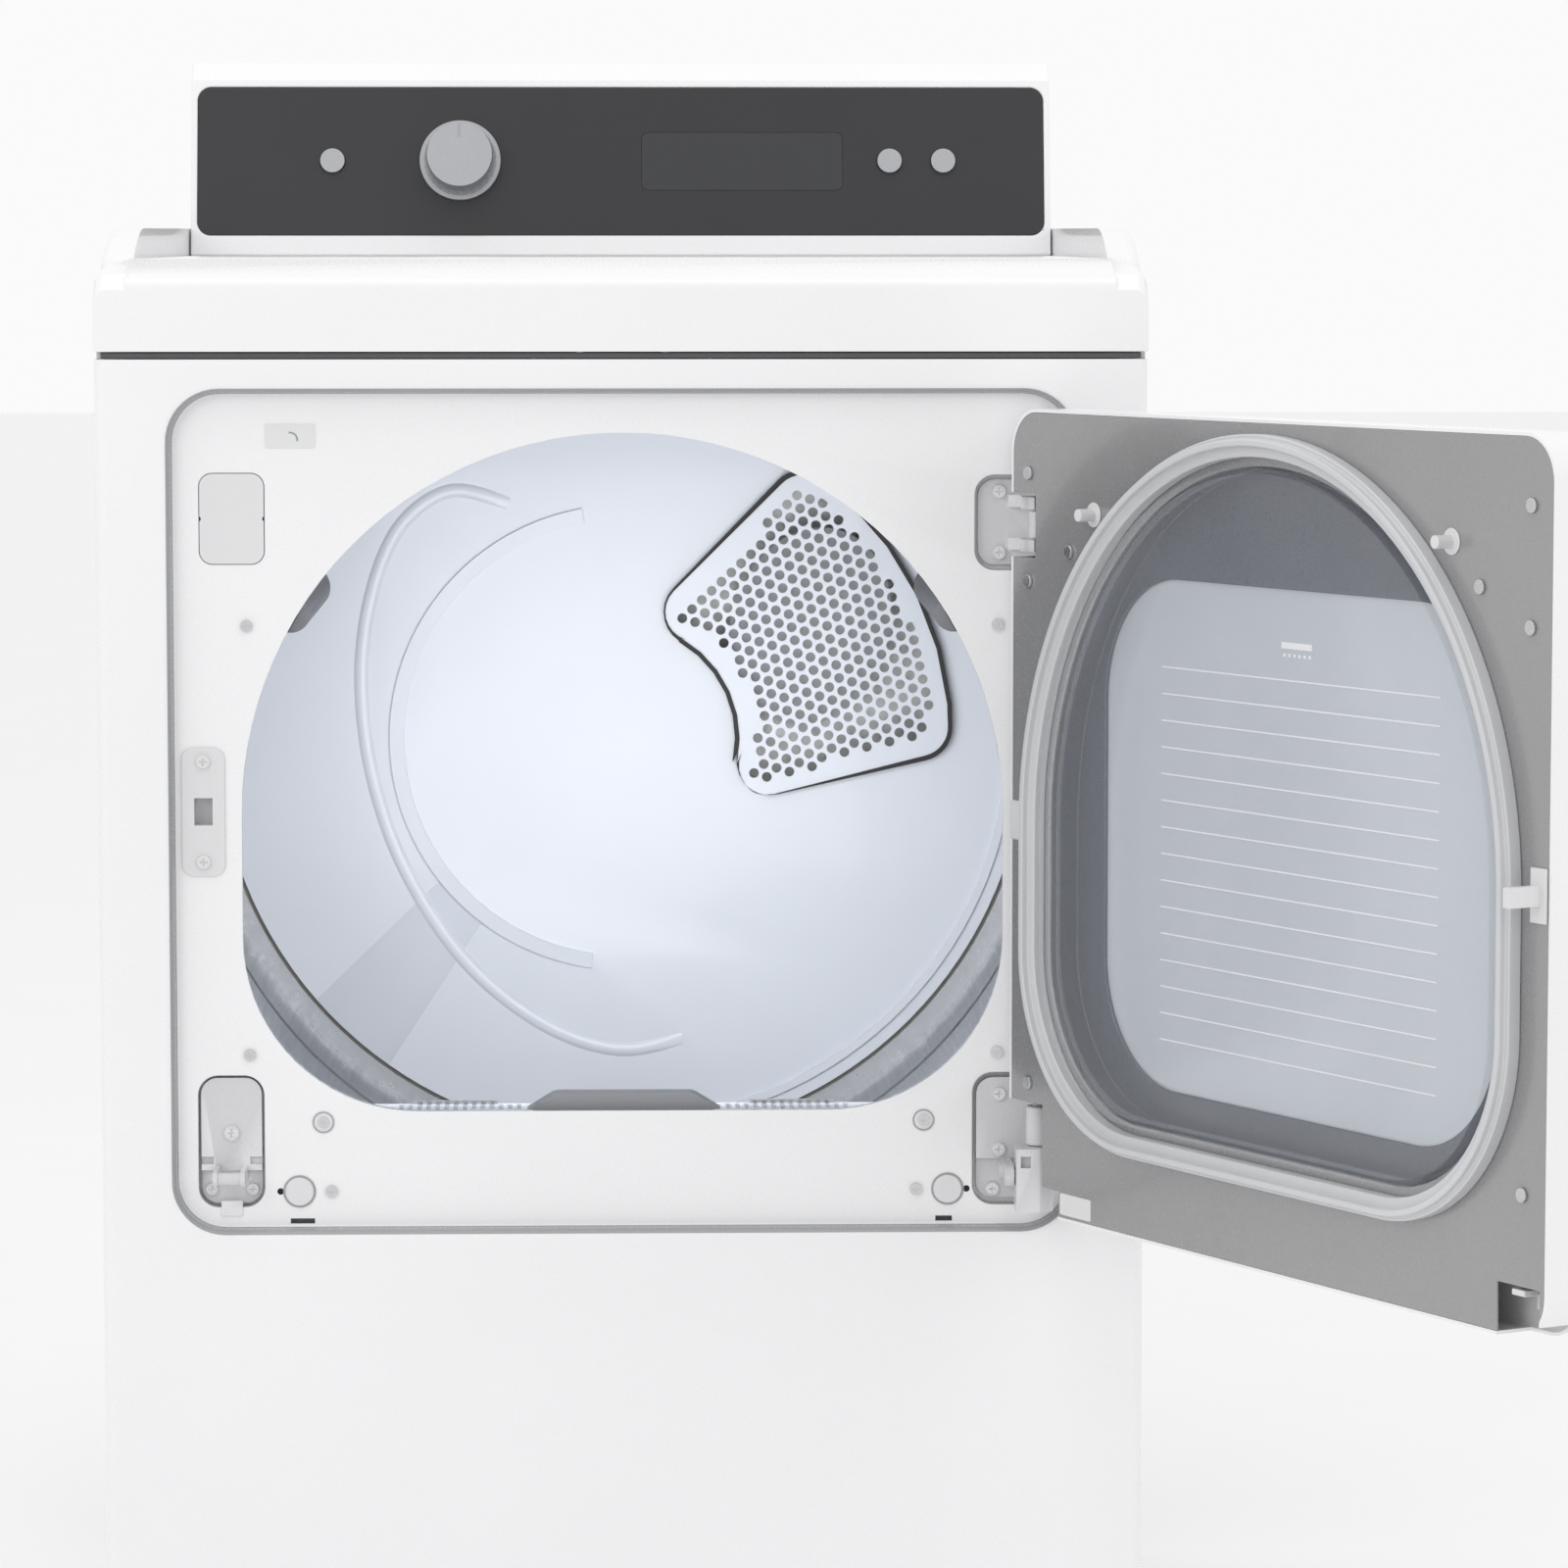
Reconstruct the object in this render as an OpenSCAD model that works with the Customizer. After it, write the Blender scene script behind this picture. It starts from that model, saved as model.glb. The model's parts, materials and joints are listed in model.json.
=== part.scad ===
// Two-way-door tumble dryer with a rear console, as an assembly of separate pieces.
// Origin: on the floor, midway across, in the plane of the cabinet's front face.
// +X is the user's right, +Y runs from the front to the back, +Z is up.

/* [Cabinet] */
// Width of the cabinet
cabinet_w = 686; // [640:1:760]
// Depth of the cabinet, without the door and the exhaust collar
cabinet_d = 690; // [670:1:830]
// Height of the top cover's front edge above the floor
deck_z = 1000; // [1000:1:1160]
// Height of the underside of the cabinet above the floor
foot_h = 22; // [14:1:26]
// Thickness of the cabinet sheet metal
sheet = 1.2; // [0.8:0.1:1.5]
// Height of the top cover's front skirt
cover_h = 48; // [36:1:56]
// Overall height to the top of the console
console_top = 1156; // [1130:1:1300]

/* [Drum] */
// Inner radius of the drum
drum_r = 322; // [300:1:325]
// Thickness of the drum wall
drum_wall = 1; // [0.8:0.1:1.5]
// Height of the drum axis above the floor
axis_z = 649; // [645:1:652]
// Free height of a lifter above the drum wall
lifter_h = 80; // [40:1:84]

/* [Door opening] */
// Radius of the arched top of the opening, about the drum axis
open_r = 250; // [210:1:252]
// Height of the flat sill below the drum axis
sill_drop = 197; // [190:1:200]
// Radius of the opening's two lower corners
open_corner_r = 115; // [60:1:130]

/* [Door] */
// Width of the door
door_w = 570; // [560:1:575]
// Height of the door
door_h = 525; // [515:1:530]
// Thickness of the door
door_t = 28; // [26:1:32]
// Angle that the door stands open, measured from closed
door_angle = 119; // [0:1:125]
// Width of the clear window in the door
window_w = 414; // [300:1:430]
// Height of the clear window in the door
window_h = 326; // [240:1:335]

/* [Exhaust] */
// Outer radius of the exhaust collar, for four-inch duct
exhaust_r = 50.8; // [45:0.1:55]
// Length of the collar that stands out behind the cabinet
exhaust_out = 38; // [20:1:60]

/* [Support rollers] */
// Radius of a drum support roller
roller_r = 20; // [15:1:22]
// Radius of a roller shaft
shaft_r = 5; // [4:0.5:7]

/* [Hidden] */
$fn = 72;

// Clearances
run_fit = 0.05;      // radial, pin or shaft in a hole
gap = 0.4;           // between neighbouring faces on different bodies
eps = 0.01;          // overlap that joins two solids

// Heights of the cabinet's parts
cover_z0 = deck_z - cover_h;
cover_gap = 5;
panel_top = cover_z0 - cover_gap;
half_w = cabinet_w / 2;
edge_r = 7;
return_d = 22;

// Door recess in the front panel, and the door in it
recess_d = 12;
recess_w = door_w + 18;
recess_h = door_h + 25;
door_z = axis_z + 4;
recess_z = door_z - 3;
recess_r = 32;
door_r = 28;
door_in_y = -2;
door_out_y = door_in_y - door_t;
door_z0 = door_z - door_h / 2;
sill_z = axis_z - sill_drop;

// Hinge axes
pivot_x = door_w / 2 - 13;
pivot_y = -16;
tilt_y = pivot_y;
tilt_z = door_z0 + 21.5;
pin_r = 4;

// Pockets for the hinge hardware, in the recess floor
pocket_d = 9;
pocket_w = 52;
hook_z = axis_z + 191;
hook_h = 62;
low_h = 87;
low_z = recess_z - recess_h / 2 + 14 + low_h / 2;
pocket_x = recess_w / 2 - 11 - pocket_w / 2;
pocket_floor = recess_d + pocket_d;
recv_w = 43;
recv_x = -(recess_w / 2 - 35.5);

// Strike and blanking plate
strike_x = -(recess_w / 2 - 19);
strike_z = axis_z + 2;
plate_x = -(recess_w / 2 - 39);
plate_z = axis_z + 194;

// Bulkheads and the drum's ends
bulk_y = 26;
bulk_t = 2;
collar_r = drum_r - 22;
flange_y = 44;
rear_y = cabinet_d - 84;
drum_end = rear_y - 9;
disc_r = drum_r - 16.5;
disc_y = rear_y - 14;
felt_t = 3;

// Lint filter slot
filter_w = 120;
filter_t = 15;
filter_y = 24;
filter_z0 = 250;
duct_wall = 1.6;

// Blower, motor and belt line
motor_x = 110;
motor_z = 135;
motor_r = 62;
motor_shaft_r = 6;
pulley_r = 10;
wheel_r = 72;
blower_y = 66;
blower_d = 84;
motor_y = 190;
motor_len = 110;
belt_y = 346;
belt_w = 8;
belt_t = 3;
belt_r = drum_r + drum_wall + 0.4;
idler_r = 15;
exhaust_x = -60;
exhaust_z = 108;

// Roller places, on the underside of the drum
roller_a = 58;
roller_w = 18;
roller_ring = drum_r + drum_wall + 0.3 + roller_r;
roller_x = roller_ring * cos(roller_a);
roller_z = axis_z - roller_ring * sin(roller_a);
front_roller_y = 60;
rear_roller_y = drum_end - 38;

// Console
console_y = cabinet_d - 130;
console_z = deck_z + 8;
console_lean = 12;
fascia_h = 112;
fascia_w = cabinet_w - 56;
fascia_z = console_z + 74;
fascia_t = 3;
fascia_y = console_y + (fascia_z - console_z) * tan(console_lean);
housing_t = 3;
button_r = 9;
knob_r = 27;

// Air outlet grille in the rear bulkhead, as angles and radii about the drum axis
grille_in = 88;
grille_out = 246;
grille_a = [[57, 81], [-37, -2]];
grille_pitch = 10.1;
grille_hole = 3.7;
grille_y = disc_y - 8;

white = [0.95, 0.95, 0.96];
pale = [0.87, 0.89, 0.92];
steel = [0.72, 0.73, 0.75];
grey = [0.55, 0.56, 0.58];
dark = [0.16, 0.17, 0.20];

// ---------------------------------------------------------------- shared shapes

// Extrudes a front-view shape (X across, Z up) from y0 backwards by len
module along_y(y0, len) {
    translate([0, y0 + len, 0]) rotate([90, 0, 0]) linear_extrude(len) children();
}

// Extrudes a side-view shape (Y across, Z up) along X, centred
module along_x(len, xc = 0) {
    translate([xc - len / 2, 0, 0]) rotate([90, 0, 90]) linear_extrude(len) children();
}

// A cylinder along Y whose axis passes through x, z
module rod_y(r, y0, len, x = 0, z = 0) {
    translate([x, y0 + len, z]) rotate([90, 0, 0]) cylinder(r = r, h = len);
}

// A cylinder along X
module rod_x(r, x0, len, y = 0, z = 0) {
    translate([x0, y, z]) rotate([0, 90, 0]) cylinder(r = r, h = len);
}

// A rounded rectangle, centred
module rrect(w, h, r) {
    square([w - 2 * r, h], center = true);
    square([w, h - 2 * r], center = true);
    for (sx = [-1, 1], sy = [-1, 1])
        translate([sx * (w / 2 - r), sy * (h / 2 - r)]) circle(r);
}

// A block given by its corner and size
module block(x, y, z, dx, dy, dz) {
    translate([x, y, z]) cube([dx, dy, dz]);
}

// The D-shaped opening: an arch about the drum axis, straight sides and a flat sill
module arch_shape(grow = 0) {
    r = open_r + grow;
    cr = open_corner_r + grow;
    sill = sill_z - grow;
    intersection() {
        translate([0, axis_z]) circle(r);
        translate([-r, axis_z]) square([2 * r, r]);
    }
    translate([-r, sill + cr]) square([2 * r, axis_z - sill - cr]);
    translate([-(r - cr), sill]) square([2 * (r - cr), cr]);
    intersection() {
        for (s = [-1, 1]) translate([s * (r - cr), sill + cr]) circle(cr);
        translate([-r, sill]) square([2 * r, cr]);
    }
}

// Points on an arc
function arc(c, r, a0, a1, n) =
    [for (i = [0 : n]) let (a = a0 + (a1 - a0) * i / n) [c[0] + r * cos(a), c[1] + r * sin(a)]];

// A corner of an outline, rounded to radius r with n steps
function unit(v) = v / norm(v);
function round_corner(a, b, c, r, n) =
    let (u = unit(a - b), v = unit(c - b), half = acos(u * v) / 2,
         d = r / tan(half), o = b + unit(u + v) * r / sin(half),
         p = b + u * d - o, q = b + v * d - o,
         a0 = atan2(p[1], p[0]), turn = atan2(p[0] * q[1] - p[1] * q[0], p * q))
    [for (i = [0 : n]) let (t = a0 + turn * i / n) [o[0] + r * cos(t), o[1] + r * sin(t)]];

function polar(r, a) = [r * cos(a), axis_z + r * sin(a)];

// Outline of the grille, grown by g: curved inner and outer sides with rounded corners
function grille_outline(g) =
    let (ri = grille_in - g, ro = grille_out + g, da_i = g / ri * 57.3, da_o = g / ro * 57.3,
         a = polar(ro, grille_a[0][0] + da_o), b = polar(ri, grille_a[0][1] + da_i),
         c = polar(ri, grille_a[1][0] - da_i), d = polar(ro, grille_a[1][1] - da_o),
         inner = [for (t = [60 : -12 : -12]) polar(ri, t)],
         outer = [for (t = [6 : 10 : 46]) polar(ro, t)],
         cr = 22 + g)
    concat(round_corner(outer[len(outer) - 1], a, b, cr, 8),
           round_corner(a, b, inner[0], cr, 8), inner,
           round_corner(inner[len(inner) - 1], c, d, cr, 8),
           round_corner(c, d, outer[0], cr, 8), outer);

module grille_shape(g = 0) {
    polygon(grille_outline(g));
}

// True where a grille hole of the pattern lies well inside the outline
function side(p, a, b) = ((b[0] - a[0]) * (p[1] - a[1]) - (b[1] - a[1]) * (p[0] - a[0])) / norm(b - a);
function in_grille(p) =
    let (r = norm(p - [0, axis_z]), m = 13)
    r > grille_in + m && r < grille_out - m
    && side(p, polar(grille_out, grille_a[0][0]), polar(grille_in, grille_a[0][1])) > m
    && side(p, polar(grille_in, grille_a[1][0]), polar(grille_out, grille_a[1][1])) > m;

// Turns the children from the closed door's place to where the door stands open
module door_open() {
    translate([pivot_x, pivot_y, 0]) rotate([0, 0, door_angle])
        translate([-pivot_x, -pivot_y, 0]) children();
}

// Places the children on the console's leaning face: X across, Y up the face, Z outwards
module on_fascia(x = 0, up = 0) {
    translate([0, fascia_y, fascia_z]) rotate([90 - console_lean, 0, 0])
        translate([x, up, 0]) children();
}

// A pan-head screw whose shank runs backwards from a face at y
module pan_screw(x, y, z, r = 4, shank = 6) {
    difference() {
        rod_y(r, y - 2, 2, x, z);
        for (a = [0, 90]) translate([x, y - 2, z]) rotate([0, a, 0])
            cube([r * 1.1, 1.6, 0.8], center = true);
    }
    rod_y(r * 0.45, y - eps, shank, x, z);
}

// ---------------------------------------------------------------- cabinet

module side_panel(s) {
    color(white) {
        z0 = foot_h;
        h = cover_z0 - z0;
        x = s * (half_w - sheet / 2);
        difference() {
            union() {
                block(x - sheet / 2, return_d + 0.5, z0, sheet, cabinet_d - return_d - 0.5 - sheet, h);
                for (y = [return_d + 0.5, cabinet_d - 2 * sheet])
                    block(s > 0 ? half_w - 18 : -half_w, y, z0, 18, sheet, h);
            }
            translate([s * half_w, 300, 330]) rotate([0, 90, 0])
                cylinder(r = 3, h = 8, center = true);
        }
    }
}

module side_panel_left() { side_panel(-1); }
module side_panel_right() { side_panel(1); }

module rear_panel() {
    color(steel) difference() {
        block(-half_w, cabinet_d - sheet, foot_h, cabinet_w, sheet, cover_z0 - foot_h);
        rod_y(exhaust_r + 2, cabinet_d - 5, 10, exhaust_x, exhaust_z);
        for (ix = [0 : 9], iz = [0 : 2])
            block(60 + 16 * ix, cabinet_d - 5, 210 + 46 * iz, 6, 10, 34);
        for (s = [-1, 1])
            rod_y(2.2, cabinet_d - 5, 10, terminal_x + s * 52, terminal_z);
    }
}

module pocket_tray(xc, zc, w, h) {
    difference() {
        along_y(recess_d, pocket_d + sheet) translate([xc, zc])
            rrect(w + 2 * sheet, h + 2 * sheet, 13 + sheet);
        along_y(recess_d - 1, pocket_d + 1) translate([xc, zc]) rrect(w, h, 13);
    }
}

module pocket_cut(xc, zc, w, h) {
    along_y(recess_d - 1, pocket_d + 1) translate([xc, zc]) rrect(w, h, 13);
}

// Front face with rounded vertical edges and returns along the sides
module face_shell() {
    h = panel_top - foot_h;
    translate([0, 0, foot_h]) linear_extrude(h) difference() {
        union() {
            translate([-half_w, edge_r]) square([cabinet_w, return_d - edge_r]);
            translate([-half_w + edge_r, 0]) square([cabinet_w - 2 * edge_r, return_d]);
            for (s = [-1, 1]) translate([s * (half_w - edge_r), edge_r]) circle(edge_r);
        }
        translate([-half_w + sheet, edge_r]) square([cabinet_w - 2 * sheet, return_d]);
        translate([-half_w + edge_r, sheet]) square([cabinet_w - 2 * edge_r, return_d]);
        for (s = [-1, 1]) translate([s * (half_w - edge_r), edge_r]) circle(edge_r - sheet);
    }
    for (z = [foot_h, panel_top - sheet])
        block(-half_w + edge_r, sheet - eps, z, cabinet_w - 2 * edge_r, return_d - sheet, sheet);
}

module recess_shape(g = 0) {
    translate([0, recess_z]) rrect(recess_w + 2 * g, recess_h + 2 * g, recess_r + g);
}

module front_panel() {
    color(white) difference() {
        union() {
            difference() {
                face_shell();
                along_y(-1, recess_d) recess_shape(eps);
            }
            difference() {
                along_y(0, recess_d + sheet) recess_shape(sheet);
                along_y(-1, recess_d + 1) recess_shape();
            }
            pocket_tray(pocket_x, hook_z, pocket_w, hook_h);
            pocket_tray(pocket_x, low_z, pocket_w, low_h);
            pocket_tray(recv_x, low_z, recv_w, low_h);
            along_y(recess_d, 6) arch_shape(sheet);
        }
        along_y(recess_d - 1, 10) arch_shape();
        pocket_cut(pocket_x, hook_z, pocket_w, hook_h);
        pocket_cut(pocket_x, low_z, pocket_w, low_h);
        pocket_cut(recv_x, low_z, recv_w, low_h);
        along_y(recess_d - 1, 10) translate([plate_x, plate_z]) rrect(43, 60, 9);
        along_y(recess_d - 1, 10) translate([strike_x, strike_z]) rrect(20, 46, 3);
        for (s = [-1, 1]) rod_y(6, recess_d - 1, 10, s * bumper_x, bumper_z);
        for (p = panel_screw_at) rod_y(1.8, recess_d - 1, 10, p[0], p[1]);
        for (s = [-1, 1]) rod_y(2.2, recess_d - 1, 10, s * (bumper_x + 12.5), bumper_z);
        for (x = drain_at) block(x[0], recess_d - 1, recess_z - recess_h / 2 + 2.5, x[1], 3, 3.5);
    }
}
drain_at = [[-220, 16], [206, 11]];

module base_pan() {
    y0 = return_d + 2;
    d = cabinet_d - y0 - 2 * sheet - 1;
    w = cabinet_w - 2 * sheet - 2;
    color(steel) difference() {
        block(-w / 2, y0, foot_h, w, d, 30);
        block(-w / 2 + sheet, y0 + sheet, foot_h + sheet, w - 2 * sheet, d - 2 * sheet, 40);
        for (p = foot_at) translate([p[0], p[1], foot_h - 1]) cylinder(r = foot_stud + 0.2, h = 10);
    }
}

foot_stud = 5;
foot_at = [for (sx = [-1, 1], y = [70, cabinet_d - 60]) [sx * (half_w - 45), y]];

module leveling_feet() {
    color(dark) for (p = foot_at) translate([p[0], p[1], 0]) {
        cylinder(r = 18, h = 7);
        translate([0, 0, 7 - eps]) cylinder(r = 12, h = foot_h - 7);
        translate([0, 0, foot_h - 2 * eps]) cylinder(r = foot_stud, h = 24);
    }
}

// Side profile of the deck between its rails, and of a rail, in Y and Z
deck_rise = 12;
rail_w = 22;
function deck_profile(t) = concat(
    [[cabinet_d - t, cover_z0 - (t > 0 ? 1 : 0)], [t, cover_z0 - (t > 0 ? 1 : 0)]],
    arc([6, deck_z - 6], 6 - t, 180, 110, 6),
    [[38, deck_z + deck_rise - t], [cabinet_d - t, deck_z + deck_rise - t]]);
function rail_profile(t) = concat(
    [[cabinet_d - t, cover_z0 - (t > 0 ? 1 : 0)], [t, cover_z0 - (t > 0 ? 1 : 0)],
     [t, deck_z - 8], [8 + t / 2, deck_z + 2 - t / 2]],
    arc([150, deck_z - 172], 204 - t, 118, 90, 8), [[cabinet_d - t, deck_z + 32 - t]]);

module top_cover() {
    color(white) difference() {
        union() {
            along_x(cabinet_w - 2 * rail_w + 2) polygon(deck_profile(0));
            for (s = [-1, 1]) along_x(rail_w, s * (half_w - rail_w / 2)) polygon(rail_profile(0));
        }
        along_x(cabinet_w - 2 * rail_w - 3) polygon(deck_profile(sheet));
        for (s = [-1, 1])
            along_x(rail_w - 2 * sheet, s * (half_w - rail_w / 2)) polygon(rail_profile(sheet));
        block(-half_w + rail_w - 5, 30, cover_z0 - 1, cabinet_w - 2 * rail_w + 10, cabinet_d - 60, cover_h - 4);
    }
}

// ---------------------------------------------------------------- console

function console_profile(t) =
    let (lean = tan(console_lean), top = console_top - t)
    [[console_y + t, console_z + (t > 0 ? -1 : 0)],
     [console_y + t + (top - 14 - console_z) * lean, top - 14],
     [console_y + t + (top - console_z) * lean + 10, top],
     [cabinet_d - 16 - t, top],
     [cabinet_d - 4 - t, top - 14],
     [cabinet_d - 4 - t, console_z + (t > 0 ? -1 : 0)]];
console_end = 8;
deck_top = deck_z + deck_rise;

module console_housing() {
    color(white) difference() {
        along_x(cabinet_w - 2 * rail_w - 2) polygon([for (p = console_profile(0))
            [p[0], max(p[1], deck_top)]]);
        along_x(cabinet_w - 2 * rail_w - 2 - 2 * housing_t)
            polygon([for (p = console_profile(housing_t)) [p[0], max(p[1], deck_top - 1)]]);
        on_fascia() translate([0, 0, -fascia_t - 2]) linear_extrude(20)
            rrect(fascia_w + 0.6, fascia_h + 0.6, 10.3);
    }
}

display_x = 90;
display_size = [150, 44];
knob_x = -120;
button_up = 0;
power_x = -215;
start_x = 240;
option_x = 200;
board_z = -18;

module console_fascia() {
    color(dark) on_fascia() difference() {
        translate([0, 0, -fascia_t]) linear_extrude(fascia_t) rrect(fascia_w, fascia_h, 10);
        translate([display_x, 0, -fascia_t - 1]) linear_extrude(fascia_t + 2)
            rrect(display_size[0], display_size[1], 5);
        for (x = [power_x, start_x, option_x])
            translate([x, button_up, -fascia_t - 1]) cylinder(r = button_r + gap, h = fascia_t + 2);
        translate([knob_x, 0, -fascia_t - 1]) cylinder(r = 4 + gap, h = fascia_t + 2);
    }
}

module display_lens() {
    color([0.05, 0.06, 0.08]) on_fascia(display_x) translate([0, 0, -fascia_t])
        linear_extrude(fascia_t) rrect(display_size[0] - 0.4, display_size[1] - 0.4, 4.8);
}

module control_board() {
    color([0.1, 0.35, 0.2]) on_fascia() {
        difference() {
            translate([-150, -40, board_z - 1.6]) cube([400, 80, 1.6]);
            translate([knob_x, 0, board_z - 3]) cylinder(r = 4 + gap, h = 6);
        }
        translate([display_x - 60, -16, board_z - eps]) cube([120, 32, 9]);
        for (x = [-60, -20, 160]) translate([x, -30, board_z - 1.6 - 18 + eps]) cube([26, 22, 18]);
        for (x = [-90 : 36 : 230]) translate([x, 30, board_z - eps]) cylinder(r = 4, h = 9);
    }
}

module selector_knob() {
    color(steel) on_fascia(knob_x) {
        difference() {
            union() {
                translate([0, 0, gap]) cylinder(r = knob_r + 3, h = 4);
                translate([0, 0, gap + 4 - eps]) cylinder(r1 = knob_r, r2 = knob_r - 3, h = 20, $fn = 72);
            }
            for (a = [0 : 15 : 345]) rotate([0, 0, a]) translate([knob_r + 0.2, 0, 5])
                cylinder(r = 1.5, h = 25, $fn = 24);
            translate([-1, knob_r - 14, gap + 23]) cube([2, 14, 3]);
        }
        translate([0, 0, -17]) cylinder(r = 4, h = 17 + gap + eps);
    }
}

module push_button(x) {
    on_fascia(x, button_up) {
        translate([0, 0, -8]) cylinder(r = button_r, h = 11);
        translate([0, 0, -12]) cylinder(r = button_r + 2, h = 4 + eps);
    }
}

module power_button() { color(steel) push_button(power_x); }
module start_button() { color(steel) push_button(start_x); }
module option_button() { color(steel) push_button(option_x); }

// ---------------------------------------------------------------- front bulkhead, lint path

duct_x = filter_w / 2 + 1 + duct_wall;
duct_y0 = filter_y - 1 - duct_wall;
duct_y1 = filter_y + filter_t + 1 + duct_wall;
ledge_z = sill_z - 1.5;
chamber_z0 = 62;
chamber_z1 = 240;
chamber_x1 = motor_x + 66;
inlet_r = 54;

module front_bulkhead() {
    color(pale) difference() {
        union() {
            along_y(bulk_y, bulk_t) translate([0, axis_z - 14]) rrect(676, 606, 20);
            rod_y(collar_r, bulk_y, 30, 0, axis_z);
        }
        difference() {
            rod_y(collar_r - 2, bulk_y + bulk_t, 40, 0, axis_z);
            block(-170, bulk_y, ledge_z - 3, 340, 31, 3);
            block(-duct_x - 2, bulk_y, sill_z - 200, 2 * duct_x + 4, 3, 210);
        }
        difference() {
            along_y(bulk_y - 1, 32) arch_shape(2);
            block(-170, bulk_y - 2, ledge_z - 3, 340, 34, 3);
        }
        block(-duct_x - 0.2, duct_y0 - 1, 300, 2 * duct_x + 0.4, duct_y1 - duct_y0 + 1.2, sill_z - 296);
        for (s = [-1, 1], i = [0 : 13])
            block(s * (duct_x + 7 + i * 6) - 1.5, bulk_y + bulk_t + 2, ledge_z - 5, 3, 22, 10);
        for (s = [-1, 1]) rod_y(shaft_r, bulk_y - 1, 5, s * roller_x, roller_z);
    }
}

module lint_duct() {
    w = 2 * duct_x;
    color([0.6, 0.62, 0.65]) difference() {
        union() {
            block(-duct_x, duct_y0, chamber_z1 - eps, w, duct_y1 - duct_y0, ledge_z - chamber_z1);
            block(-duct_x, duct_y0, chamber_z0, chamber_x1 + duct_x, blower_y - gap - duct_y0,
                  chamber_z1 - chamber_z0);
        }
        block(-duct_x + duct_wall, duct_y0 + duct_wall, chamber_z1 - 10, w - 2 * duct_wall,
              duct_y1 - duct_y0 - 2 * duct_wall, ledge_z);
        block(-duct_x + duct_wall, duct_y0 + duct_wall, chamber_z0 + duct_wall,
              chamber_x1 + duct_x - 2 * duct_wall, blower_y - gap - duct_y0 - 2 * duct_wall,
              chamber_z1 - chamber_z0 - 2 * duct_wall);
        rod_y(inlet_r, blower_y - 10, 20, motor_x, motor_z);
    }
}

// The filter lifts out of the slot behind the sill
module lint_filter() {
    top = sill_z + 10;
    color(grey) {
        difference() {
            block(-filter_w / 2, filter_y, filter_z0, filter_w, filter_t, ledge_z - filter_z0);
            for (y = [filter_y - 1, filter_y + filter_t - 4])
                block(-filter_w / 2 + 6, y, filter_z0 + 8, filter_w - 12, 5, ledge_z - filter_z0 - 20);
            block(-filter_w / 2 + 6, filter_y + 6, filter_z0 + 8, filter_w - 12, 3, ledge_z - filter_z0 - 4);
        }
        along_y(filter_y - 1, filter_t + 3) difference() {
            polygon(concat(
                [[-filter_w / 2 - 4, ledge_z + gap], [filter_w / 2 + 4, ledge_z + gap]],
                round_corner([filter_w / 2 + 4, ledge_z], [filter_w / 2 - 14, top], [0, top], 10, 5),
                round_corner([0, top], [-filter_w / 2 + 14, top], [-filter_w / 2 - 4, ledge_z], 10, 5)));
        }
        block(-filter_w / 2 + 3, filter_y + 1, ledge_z - 1, filter_w - 6, filter_t - 2, 1.6);
    }
}

module moisture_bars() {
    color(steel) for (s = [-1, 1])
        block(s * 112 - 28, bulk_y + 26.2, ledge_z, 56, 3, 2.5);
}

// ---------------------------------------------------------------- rear bulkhead and heater

module rear_bulkhead() {
    color(pale) difference() {
        union() {
            along_y(rear_y, bulk_t) translate([0, axis_z - 14]) rrect(676, 606, 20);
            rod_y(disc_r, disc_y, rear_y - disc_y + eps, 0, axis_z);
        }
        difference() {
            rod_y(disc_r - 2, disc_y + 2, rear_y + bulk_t - disc_y, 0, axis_z);
            along_y(disc_y + 1, rear_y + bulk_t - disc_y - 1) grille_shape(-6);
        }
        along_y(disc_y - 1, 30) grille_shape(-10);
        for (s = [-1, 1]) rod_y(shaft_r, rear_y - 1, 5, s * roller_x, roller_z);
    }
    color(pale) for (g = [[165, 176, 100, 262], [290, 296, -78, 10]])
        translate([0, disc_y + eps, axis_z]) rotate([90, 0, 0]) intersection() {
            difference() {
                cylinder(r = g[1], h = 3);
                translate([0, 0, -1]) cylinder(r = g[0], h = 5);
            }
            linear_extrude(3) polygon(concat([[0, 0]], arc([0, 0], 400, g[2], g[3], 12)));
        }
}

module vent_grille() {
    a = -17;
    color(pale) difference() {
        along_y(grille_y, 2) grille_shape(0);
        for (i = [-16 : 16], j = [-16 : 16])
            let (u = (i + (j % 2 == 0 ? 0 : 0.5)) * grille_pitch, v = j * grille_pitch * sin(60),
                 p = [125 + u * cos(a) - v * sin(a), axis_z + 94 + u * sin(a) + v * cos(a)])
            if (in_grille(p)) rod_y(grille_hole, grille_y - 1, 4, p[0], p[1]);
    }
}

module grille_gasket() {
    color(dark) difference() {
        along_y(grille_y - 1.5, disc_y - grille_y + 1.5) grille_shape(3.4);
        along_y(grille_y - 2, 12) grille_shape(-3);
        along_y(grille_y - 2, 4) grille_shape(0);
    }
}

module drum_felts() {
    color([0.4, 0.4, 0.38]) {
        difference() {
            rod_y(collar_r + felt_t, duct_y1 + 0.8, 10, 0, axis_z);
            rod_y(collar_r, duct_y1, 12, 0, axis_z);
        }
        difference() {
            rod_y(drum_r - 2, drum_end + drum_wall + gap, rear_y - drum_end - drum_wall - gap, 0, axis_z);
            rod_y(disc_r, drum_end, 20, 0, axis_z);
        }
    }
}

duct_box_x = [22, 258];
duct_box_z = [300, 862];
duct_depth = 66;

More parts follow.
